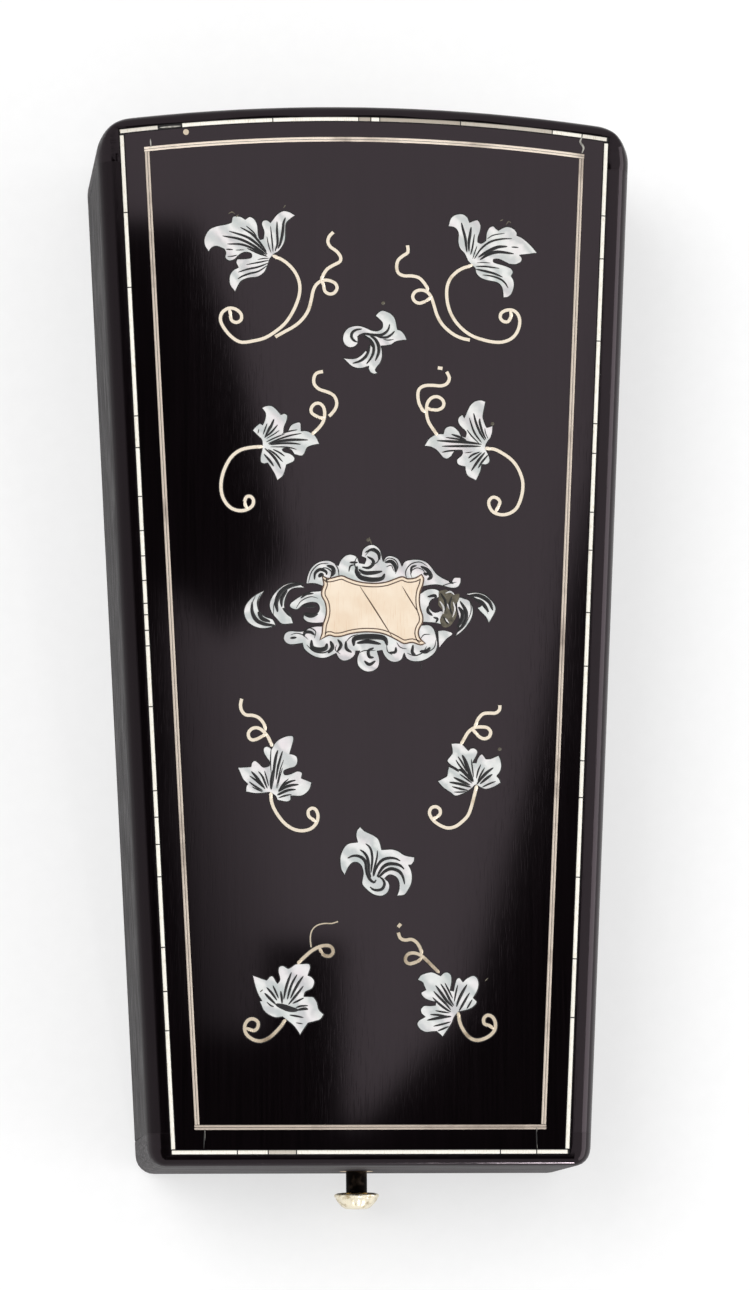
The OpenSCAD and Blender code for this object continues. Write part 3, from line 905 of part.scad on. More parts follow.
module keeper_plate()
    color(steel)
        difference() {
            translate([-keeper_w / 2, 0, 0]) {
                translate([0, rail_y, lip_z]) cube([keeper_w, keeper_t, keeper_top - lip_z]);
                translate([0, rail_y, lip_z]) cube([keeper_w, lip_y - rail_y, lip_t]);
            }
            for (x = [-keeper_screw_x, keeper_screw_x])
                translate([x, 0, 0]) along_y(front_y, keeper_screw_z) cylinder(r = screw_r + run, h = far);
        }
module keeper_screws()
    color(steel)
        for (x = [-keeper_screw_x, keeper_screw_x])
            translate([x, 0, 0]) {
                along_y(rail_y - keeper_bite, keeper_screw_z) cylinder(r = screw_r, h = keeper_bite + keeper_t);
                along_y(rail_y + keeper_t, keeper_screw_z) cylinder(r = screw_r * head_grow, h = 0.5);
            }
module hinge_lid_leaf() color(gold_brass) hinge_leaf(1, 1);
module hinge_lid_screws() color(steel) hinge_screw_set(1);

stem_end = spring_y - run;
neck_len = 0.5;
module button_stem()
    color(gold_brass)
        along_y(front_y - head_gap - neck_len, button_z) {
            cylinder(r = stem_r, h = stem_end - front_y + head_gap + neck_len);
            translate([0, 0, head_gap + neck_len + front_wall + run]) cylinder(r = collar_r, h = collar_t);
        }
module button_cap()
    color(silver)
        along_y(front_y - head_gap - head_len, button_z)
            difference() {
                rotate_extrude()
                    polygon([[0, 0], [0.5 * head_r, 0], [0.8 * head_r, 0.35 * head_len],
                        [head_r, 0.65 * head_len], [head_r, 0.85 * head_len], [0.85 * head_r, head_len],
                        [0, head_len]]);
                translate([0, 0, head_len - neck_len]) cylinder(r = stem_r + run, h = head_len);
            }

base_bottom();
base_left_rail();
base_right_rail();
base_front_rail();
base_back_rail();
tool_bed();
button_bush();
leaf_spring();
spring_screws();
hinge_base_leaf();
hinge_base_screws();
hinge_pin();
scissors_left_half();
scissors_right_half();
scissors_screw();
thimble();
needle_case_body();
needle_case_cap();
stiletto_handle();
stiletto_blade();
bodkin();
lid_panel();
lid_left_rail();
lid_right_rail();
lid_front_rail();
lid_back_rail();
field_veneer();
border_veneer();
bone_stringing();
brass_stringing();
leaf_top_left();
leaf_top_right();
leaf_upper_left();
leaf_upper_right();
leaf_lower_left();
leaf_lower_right();
leaf_bottom_left();
leaf_bottom_right();
sprig_upper();
sprig_lower();
tendrils_top_left();
tendrils_top_right();
tendrils_upper_left();
tendrils_upper_right();
tendrils_lower_left();
tendrils_lower_right();
tendrils_bottom_left();
tendrils_bottom_right();
cartouche_plate();
cartouche_crest();
cartouche_base();
cartouche_left();
cartouche_right();
lid_lining();
keeper_plate();
keeper_screws();
hinge_lid_leaf();
hinge_lid_screws();
button_cap();
button_stem();
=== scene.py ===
"""Looks of a tapered ebony sewing etui: polished case, pearl, bone and brass inlay, silk pad, velvet bed, tools."""
import json
import math
import random

import bmesh
import bpy
from mathutils import Matrix, Vector

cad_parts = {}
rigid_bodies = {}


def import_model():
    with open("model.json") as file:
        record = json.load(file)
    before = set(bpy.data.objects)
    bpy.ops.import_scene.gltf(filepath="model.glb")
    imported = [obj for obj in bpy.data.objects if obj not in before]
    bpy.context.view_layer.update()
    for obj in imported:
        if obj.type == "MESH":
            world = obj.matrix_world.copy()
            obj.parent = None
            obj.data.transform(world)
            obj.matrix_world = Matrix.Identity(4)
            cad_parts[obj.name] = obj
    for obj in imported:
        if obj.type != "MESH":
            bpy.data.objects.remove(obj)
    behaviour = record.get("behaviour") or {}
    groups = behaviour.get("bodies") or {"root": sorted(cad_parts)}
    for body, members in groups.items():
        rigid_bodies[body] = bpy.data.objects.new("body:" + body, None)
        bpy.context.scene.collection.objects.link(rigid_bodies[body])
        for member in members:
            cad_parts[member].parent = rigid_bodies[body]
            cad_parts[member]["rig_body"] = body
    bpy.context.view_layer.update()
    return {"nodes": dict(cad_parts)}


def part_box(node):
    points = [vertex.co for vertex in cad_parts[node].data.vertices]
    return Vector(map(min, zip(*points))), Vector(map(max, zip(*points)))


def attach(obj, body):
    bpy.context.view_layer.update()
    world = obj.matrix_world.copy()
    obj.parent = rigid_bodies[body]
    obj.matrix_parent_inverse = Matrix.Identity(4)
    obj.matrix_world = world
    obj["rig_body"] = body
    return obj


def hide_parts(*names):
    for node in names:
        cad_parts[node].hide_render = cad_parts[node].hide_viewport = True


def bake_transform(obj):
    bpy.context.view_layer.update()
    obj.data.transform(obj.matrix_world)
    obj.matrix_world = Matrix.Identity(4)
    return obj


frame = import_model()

bl_info = {
    "name": "Sewing etui",
    "version": (1, 0, 0),
    "blender": (4, 5, 0),
    "location": "3D View > Sidebar > Etui",
    "description": "Dresses the etui's solids with polish, inlay, stringing, lining and tools",
    "category": "Object",
}

MM = 0.001
NODE = frame["nodes"]


def hex_colour(code):
    """Turns a hex sRGB colour to linear RGBA."""
    parts = [int(code[i:i + 2], 16) / 255 for i in (1, 3, 5)]
    return tuple(c / 12.92 if c <= 0.04045 else ((c + 0.055) / 1.055) ** 2.4 for c in parts) + (1.0,)


def length(name, description, millimetres):
    """A length that the user can set, kept in metres."""
    return bpy.props.FloatProperty(name=name, description=description, default=millimetres * MM, min=0,
                                   unit="LENGTH", precision=5)


def colour(name, description, code):
    """A colour that the user can set."""
    return bpy.props.FloatVectorProperty(name=name, description=description, default=hex_colour(code), size=4,
                                         min=0, max=1, subtype="COLOR")


class EtuiSizes(bpy.types.PropertyGroup):
    """Sizes of the fine work that the solids leave plain"""
    edge: length("Softened edge", "Rounding of the rails' sharp edges", 0.14)
    bone_width: length("Bone string", "Width of the outer bone string", 0.45)
    bone_joint: length("Bone joint", "Dark joint between two pieces of bone", 0.14)
    brass_width: length("Brass string", "Width of the inner brass string", 0.56)
    brass_split: length("Brass split", "Dark line along the middle of the brass string", 0.06)
    glue_line: length("Glue line", "Width of the dark glue line round the inlay", 0.13)
    wire_glue_line: length("Wire glue line", "Width of the dark glue line round the tendrils", 0.1)
    dimple: length("Thimble dimple", "Distance of the dimples on the thimble", 1.15)
    quilt: length("Quilting", "Width of the silk pad's diamonds", 15)


class EtuiColours(bpy.types.PropertyGroup):
    """Colours of the finishes"""
    ebony: colour("Ebony", "Dark streaks of the polished ebony", "#060405")
    ebony_light: colour("Ebony, light streaks", "Lighter streaks of the polished ebony", "#0c080a")
    pearl: colour("Mother-of-pearl", "Body of the shell", "#d2d4d4")
    pearl_shade: colour("Mother-of-pearl, shade", "Darker layers of the shell", "#bfc4c5")
    bone: colour("Bone", "Clean bone", "#f2eee3")
    bone_stain: colour("Bone, stained", "Discoloured bone", "#8d8070")
    brass: colour("Brass", "Polished brass wire", "#f6e9d5")
    brass_tarnish: colour("Brass, tarnished", "Worn, tarnished brass", "#b8a283")
    gilt: colour("Gilt plate", "Plate in the cartouche", "#f2e1cb")
    engraving: colour("Engraving", "Black mastic in the engraved lines", "#131114")
    gilt_engraving: colour("Engraving on the plate", "Brown lines on the gilt plate", "#6d4f3a")
    steel: colour("Steel", "Polished steel", "#b9bcc0")
    silver: colour("Silver", "Polished silver", "#dedad0")
    walnut: colour("Walnut", "Bottom board and lid board", "#4a3122")
    velvet: colour("Velvet", "Pile of the tool bed", "#6e1420")
    silk: colour("Silk", "Quilted pad in the lid", "#d9bd8a")


def shade(code):
    """A colour as RGBA: a hex sRGB value, one of the user's colours by its name, or a number for a grey."""
    if isinstance(code, str):
        return hex_colour(code) if code.startswith("#") else getattr(bpy.context.scene.etui_colours, code)
    return (code, code, code, 1.0)


def add(tree, kind, links=None, stops=(), **settings):
    """Adds a node with its settings, and links or sets its inputs; stops, of value and colour, fill a colour ramp.

    A node given for an input is linked by its first output, and colours are given as shade reads them.
    """
    node = tree.nodes.new(kind)
    for key, value in settings.items():
        setattr(node, key, value)
    for _ in stops[2:]:
        node.color_ramp.elements.new(0.5)
    for i, (where, code) in enumerate(stops):
        node.color_ramp.elements[i].position = where
        node.color_ramp.elements[i].color = shade(code)
    for key, value in (links or {}).items():
        if isinstance(value, bpy.types.Node):
            value = value.outputs[0]
        if isinstance(value, bpy.types.NodeSocket):
            tree.links.new(value, node.inputs[key])
        elif node.inputs[key].type == "RGBA":
            node.inputs[key].default_value = shade(value)
        else:
            node.inputs[key].default_value = value
    return node


def new_finish(name, patterns, *settings):
    """A material: patterns, drawn by the place on the piece in millimetres, give what the shader takes."""
    material = bpy.data.materials.new(name)
    material.use_nodes = True
    tree = material.node_tree
    tree.nodes.clear()
    place = add(tree, "ShaderNodeTexCoord").outputs["Object"]
    mm = add(tree, "ShaderNodeVectorMath", {0: place, 1: (1000, 1000, 1000)}, operation="MULTIPLY")
    shader = add(tree, "ShaderNodeBsdfPrincipled", patterns(tree, mm, *settings))
    add(tree, "ShaderNodeOutputMaterial", {"Surface": shader})
    return material


def polished_ebony(tree, mm, along, gloss, dull, shine):
    """Ebony: near black, fine long grain, small pores; French-polished on top, rubbed dull on upright faces."""
    # Grain streaks are 0.3 mm wide and 20 mm long, pores 0.12 mm wide and 2.5 mm long, smudges 14 mm wide
    streak, pore = [1 / 0.3] * 3, [1 / 0.12] * 3
    streak[along], pore[along] = 1 / 20, 1 / 2.5
    grain = add(tree, "ShaderNodeTexNoise", {
        "Vector": add(tree, "ShaderNodeVectorMath", {0: mm, 1: streak}, operation="MULTIPLY"),
        "Scale": 1, "Detail": 4, "Roughness": 0.6})
    pores = add(tree, "ShaderNodeTexNoise", {
        "Vector": add(tree, "ShaderNodeVectorMath", {0: mm, 1: pore}, operation="MULTIPLY"),
        "Scale": 1, "Detail": 1})
    tone = add(tree, "ShaderNodeValToRGB", {"Fac": grain}, [(0.35, "ebony"), (0.8, "ebony_light")])
    smudge = add(tree, "ShaderNodeTexNoise", {"Vector": mm, "Scale": 1 / 14, "Detail": 5, "Roughness": 0.65})
    polish = add(tree, "ShaderNodeMapRange", {"Value": smudge, "From Min": 0.3, "From Max": 0.75,
                                              "To Min": gloss, "To Max": gloss * 1.4})
    rubbed = add(tree, "ShaderNodeMapRange", {"Value": grain, "From Min": 0.3, "From Max": 0.72,
                                              "To Min": dull * 0.55, "To Max": min(1, dull * 1.4)})
    facing = add(tree, "ShaderNodeSeparateXYZ", {0: add(tree, "ShaderNodeTexCoord").outputs["Normal"]})
    rough = add(tree, "ShaderNodeMapRange", {"Value": facing.outputs["Z"], "From Min": 0, "From Max": 0.7,
                                             "To Min": rubbed, "To Max": polish})
    dips = add(tree, "ShaderNodeValToRGB", {"Fac": pores}, [(0.3, 0), (0.42, 1)])
    bump = add(tree, "ShaderNodeBump", {"Height": dips, "Strength": 0.15 * dull, "Distance": 0.00002})
    return {"Base Color": tone, "Roughness": rough, "Normal": bump, "Specular IOR Level": shine,
            "Specular Tint": "#ffe9f5"}


# At scale 1 the wave texture's bands are this far apart
WAVE_BAND = 0.314


def shell_pearl(tree, mm):
    """Mother-of-pearl, ground flat and polished: pale, with wavy grey layers and a faint pink and green play."""
    # Layers of the shell are about 1.6 mm apart and wander over 4 mm; the play of colour changes over 2.6 mm
    drift = add(tree, "ShaderNodeTexNoise", {"Vector": mm, "Scale": 1 / 4, "Detail": 3})
    bent = add(tree, "ShaderNodeVectorMath", {0: drift.outputs["Color"], 1: (5, 5, 5), 2: mm},
               operation="MULTIPLY_ADD")
    layer = add(tree, "ShaderNodeTexWave", {"Vector": bent, "Scale": WAVE_BAND / 1.6, "Distortion": 2.5,
                                            "Detail": 2, "Detail Scale": 1.5}, bands_direction="DIAGONAL")
    body = add(tree, "ShaderNodeValToRGB", {"Fac": layer.outputs["Fac"]},
               [(0.05, "pearl_shade"), (0.55, "pearl"), (1, "#dfe0e0")])
    play = add(tree, "ShaderNodeTexNoise", {"Vector": mm, "Scale": 1 / 2.6, "Detail": 2})
    tint = add(tree, "ShaderNodeValToRGB", {"Fac": play}, [(0.3, "#dcebe6"), (0.5, "#ffffff"), (0.7, "#f3e2ec")])
    mixed = add(tree, "ShaderNodeMix", {"Factor": 0.4, 6: body, 7: tint}, data_type="RGBA", blend_type="MULTIPLY")
    return {"Base Color": mixed.outputs[2], "Roughness": 0.22, "IOR": 1.55, "Coat Weight": 0.25,
            "Coat Roughness": 0.1, "Thin Film Thickness": 260}


def sawn_bone(tree, mm, stained):
    """Bone, sawn and scraped: cream white with short dark canals; the string's pieces differ in tone."""
    # Canals are about 0.1 mm wide and 0.8 mm long; yellowed places run over about 9 mm
    canals = add(tree, "ShaderNodeTexNoise", {
        "Vector": add(tree, "ShaderNodeVectorMath", {0: mm, 1: (9, 1.2, 9)}, operation="MULTIPLY"),
        "Scale": 1, "Detail": 2})
    clean = add(tree, "ShaderNodeValToRGB", {"Fac": canals}, [(0.25, "#cfc3ab"), (0.45, "bone"), (1, "#f4f0e8")])
    if stained:
        tone = add(tree, "ShaderNodeAttribute", attribute_name="tone")
        mixed = add(tree, "ShaderNodeMix", {"Factor": tone.outputs["Fac"], 6: clean, 7: "bone_stain"},
                    data_type="RGBA")
    else:
        age = add(tree, "ShaderNodeTexNoise", {"Vector": mm, "Scale": 1 / 9, "Detail": 4})
        worn = add(tree, "ShaderNodeValToRGB", {"Fac": age}, [(0.35, "#ead9b6"), (0.65, "#ffffff")])
        mixed = add(tree, "ShaderNodeMix", {"Factor": 0.5, 6: clean, 7: worn},
                    data_type="RGBA", blend_type="MULTIPLY")
    return {"Base Color": mixed.outputs[2], "Roughness": 0.38, "IOR": 1.54}


def worn_metal(tree, mm, bright, dull, share, rough, speckle, metal=1.0, toned=False):
    """Metal that was polished once: bright where it is rubbed, dull and rougher in patches, finely scratched."""
    # Dull patches are as wide as speckle, in millimetres; scratches are 0.05 mm wide and a few mm long
    patch = add(tree, "ShaderNodeTexNoise", {"Vector": mm, "Scale": 1 / speckle, "Detail": 5, "Roughness": 0.6})
    worn = add(tree, "ShaderNodeMapRange", {"Value": patch, "From Min": 0.62 - share, "From Max": 0.82 - share})
    if toned:
        tone = add(tree, "ShaderNodeAttribute", attribute_name="tone")
        worn = add(tree, "ShaderNodeMapRange", {"Value": worn, "To Min": tone.outputs["Fac"]})
    mixed = add(tree, "ShaderNodeMix", {"Factor": worn, 6: bright, 7: dull}, data_type="RGBA")
    dulled = add(tree, "ShaderNodeMapRange", {"Value": worn, "To Min": rough, "To Max": min(1, rough + 0.25)})
    lines = add(tree, "ShaderNodeTexNoise", {
        "Vector": add(tree, "ShaderNodeVectorMath", {0: mm, 1: (18, 0.6, 18)}, operation="MULTIPLY"),
        "Scale": 1, "Detail": 1})
    bump = add(tree, "ShaderNodeBump", {"Height": lines, "Strength": 0.15, "Distance": 0.00001})
    return {"Base Color": mixed.outputs[2], "Roughness": dulled, "Normal": bump, "Metallic": metal}


def gilt_plate(tree, mm):
    """Gilt brass plate, fire-gilded and rubbed: warm pale gold with faint slanting scratches."""
    # Scratches are about 0.1 mm wide and 3 mm long, changes of tone 3 mm wide
    slant = add(tree, "ShaderNodeMapping", {"Vector": mm, "Rotation": (0, 0, 0.6), "Scale": (9, 0.35, 1)})
    lines = add(tree, "ShaderNodeTexNoise", {"Vector": slant, "Scale": 1, "Detail": 2})
    tone = add(tree, "ShaderNodeTexNoise", {"Vector": mm, "Scale": 1 / 3, "Detail": 3})
    body = add(tree, "ShaderNodeValToRGB", {"Fac": tone}, [(0.35, "#ecd7be"), (0.6, "gilt"), (0.8, "#f8e9d4")])
    rub = add(tree, "ShaderNodeValToRGB", {"Fac": lines}, [(0.3, "#f0e0cf"), (0.42, "#ffffff")])
    mixed = add(tree, "ShaderNodeMix", {"Factor": 0.5, 6: body, 7: rub}, data_type="RGBA", blend_type="MULTIPLY")
    bump = add(tree, "ShaderNodeBump", {"Height": lines, "Strength": 0.2, "Distance": 0.00001})
    return {"Base Color": mixed.outputs[2], "Normal": bump, "Metallic": 0.3, "Roughness": 0.42}


def filler(tree, mm, code, rough):
    """Mastic, glue or shellac in a line or a gap: dull, uneven, slightly lumpy."""
    # Lumps of about 0.4 mm
    lump = add(tree, "ShaderNodeTexNoise", {"Vector": mm, "Scale": 1 / 0.4, "Detail": 3})
    mixed = add(tree, "ShaderNodeMix", {"Factor": lump, 6: code, 7: "#000000"}, data_type="RGBA")
    bump = add(tree, "ShaderNodeBump", {"Height": lump, "Strength": 0.3, "Distance": 0.00003})
    return {"Base Color": mixed.outputs[2], "Normal": bump, "Roughness": rough}


def oiled_walnut(tree, mm):
    """Walnut board, planed and oiled: brown, streaked lengthwise, satin."""
    # Streaks 1.2 mm wide and 40 mm long
    streak = (1 / 1.2, 1 / 40, 1 / 1.2)
    grain = add(tree, "ShaderNodeTexNoise", {
        "Vector": add(tree, "ShaderNodeVectorMath", {0: mm, 1: streak}, operation="MULTIPLY"),
        "Scale": 1, "Detail": 6, "Roughness": 0.65})
    tone = add(tree, "ShaderNodeValToRGB", {"Fac": grain}, [(0.3, "#2b1b12"), (0.55, "walnut"), (0.8, "#6a4730")])
    bump = add(tree, "ShaderNodeBump", {"Height": grain, "Strength": 0.25, "Distance": 0.00005})
    return {"Base Color": tone, "Normal": bump, "Roughness": 0.45}


def silk_velvet(tree, mm):
    """Silk velvet: deep pile that is dark face on and pale at grazing angles, brushed in patches."""
    # Tufts are 0.25 mm, drawn coarser than real pile to show; brushed patches about 7 mm
    tuft = add(tree, "ShaderNodeTexNoise", {"Vector": mm, "Scale": 1 / 0.25, "Detail": 2})
    nap = add(tree, "ShaderNodeTexNoise", {"Vector": mm, "Scale": 1 / 7, "Detail": 3})
    both = add(tree, "ShaderNodeMath", {0: tuft, 1: nap}, operation="MULTIPLY")
    tone = add(tree, "ShaderNodeValToRGB", {"Fac": both}, [(0.12, "#3a0810"), (0.4, "velvet")])
    bump = add(tree, "ShaderNodeBump", {"Height": tuft, "Strength": 0.5, "Distance": 0.00015})
    return {"Base Color": tone, "Normal": bump, "Roughness": 0.9, "Specular IOR Level": 0.2,
            "Sheen Weight": 0.8, "Sheen Roughness": 0.35, "Sheen Tint": "#d8707c"}


def ribbed_silk(tree, mm):
    """Ribbed silk: fine cross ribs with a soft lustre, paler on the ribs."""
    # Ribs are 0.35 mm apart, drawn a little coarser than real ones to show; aged places about 12 mm wide
    rib = add(tree, "ShaderNodeTexWave", {"Vector": mm, "Scale": WAVE_BAND / 0.35, "Distortion": 0.25, "Detail": 1},
              bands_direction="Y").outputs["Fac"]
    cloud = add(tree, "ShaderNodeTexNoise", {"Vector": mm, "Scale": 1 / 12, "Detail": 3})
    tone = add(tree, "ShaderNodeValToRGB", {"Fac": rib}, [(0, "#a88754"), (0.5, "silk"), (1, "#ead4a6")])
    aged = add(tree, "ShaderNodeValToRGB", {"Fac": cloud}, [(0.35, "#dcc6a0"), (0.65, "#ffffff")])
    mixed = add(tree, "ShaderNodeMix", {"Factor": 0.5, 6: tone, 7: aged}, data_type="RGBA", blend_type="MULTIPLY")
    bump = add(tree, "ShaderNodeBump", {"Height": rib, "Strength": 0.3, "Distance": 0.00006})
    return {"Base Color": mixed.outputs[2], "Normal": bump, "Roughness": 0.42, "Sheen Weight": 0.25,
            "Sheen Roughness": 0.4}


def white_board(tree, mm):
    """Matt white board under the case: plain, with a paper tooth that is barely seen."""
    # Tooth of about 2 mm
    tooth = add(tree, "ShaderNodeTexNoise", {"Vector": mm, "Scale": 1 / 2, "Detail": 2})
    tone = add(tree, "ShaderNodeValToRGB", {"Fac": tooth}, [(0.3, 0.93), (0.7, 0.96)])
    return {"Base Color": tone, "Roughness": 1, "Specular IOR Level": 0}


# Each finish: its material's name, its patterns and their settings
FINISHES = {
    "ebony": ("polished_ebony", polished_ebony, 1, 0.03, 0.03, 0.56),
    # Left rails: the same ebony with less shine than the right, a painted shade that makes the case's left side read
    # darker
    "rail_left": ("handled_ebony_lengthwise", polished_ebony, 1, 0.07, 0.62, 0.2),
    "rail_right": ("rubbed_ebony_lengthwise", polished_ebony, 1, 0.07, 0.62, 0.36),
    "rail_crosswise": ("rubbed_ebony_crosswise", polished_ebony, 0, 0.07, 0.62, 0.3),
    "hinge_brass": ("lacquered_brass", worn_metal, "#dcb872", "#a88748", 0, 0.28, 6),
    "pearl": ("mother_of_pearl", shell_pearl),
    "bone_string": ("sawn_bone_string", sawn_bone, True),
    "bone": ("turned_bone", sawn_bone, False),
    "brass": ("worn_brass", worn_metal, "brass", "brass_tarnish", 0.06, 0.4, 2.5, 0.5),
    "aged_brass": ("aged_brass", worn_metal, "#d6c7b0", "#8c7a64", 0.1, 0.45, 3, 0.5),
    "string_brass": ("rubbed_string_brass", worn_metal, "#eee0d0", "#8f8177", 0.1, 0.45, 9, 0.4, True),
    "dark_brass": ("oxidised_brass", worn_metal, "#3b3129", "#120e0c", 0.3, 0.4, 1.5),
    "gilt": ("rubbed_gilt_brass", gilt_plate),
    "gilt_silver": ("parcel_gilt_silver", worn_metal, "#efe6cf", "#a8956f", 0.12, 0.22, 0.8),
    "steel": ("polished_steel", worn_metal, "steel", "#74777b", 0.05, 0.22, 4),
    "silver": ("polished_silver", worn_metal, "silver", "#98917f", 0.02, 0.2, 6),
    "mastic": ("engraver_mastic", filler, "engraving", 0.5),
    "plate_line": ("plate_engraving", filler, "gilt_engraving", 0.5),
    "glue": ("hide_glue", filler, "#0b0809", 0.55),
    "shellac": ("shellac_stick", filler, "#736c5a", 0.45),
    "chalk": ("dried_polish", filler, "#cfccc2", 0.6),
    "walnut": ("oiled_walnut", oiled_walnut),
    "velvet": ("silk_velvet", silk_velvet),
    "silk": ("ribbed_silk", ribbed_silk),
}
# Materials made so far
MADE = {}


def finish(key):
    """The material of a finish, made on its first use."""
    if key not in MADE:
        MADE[key] = new_finish(*FINISHES[key])
    return MADE[key]


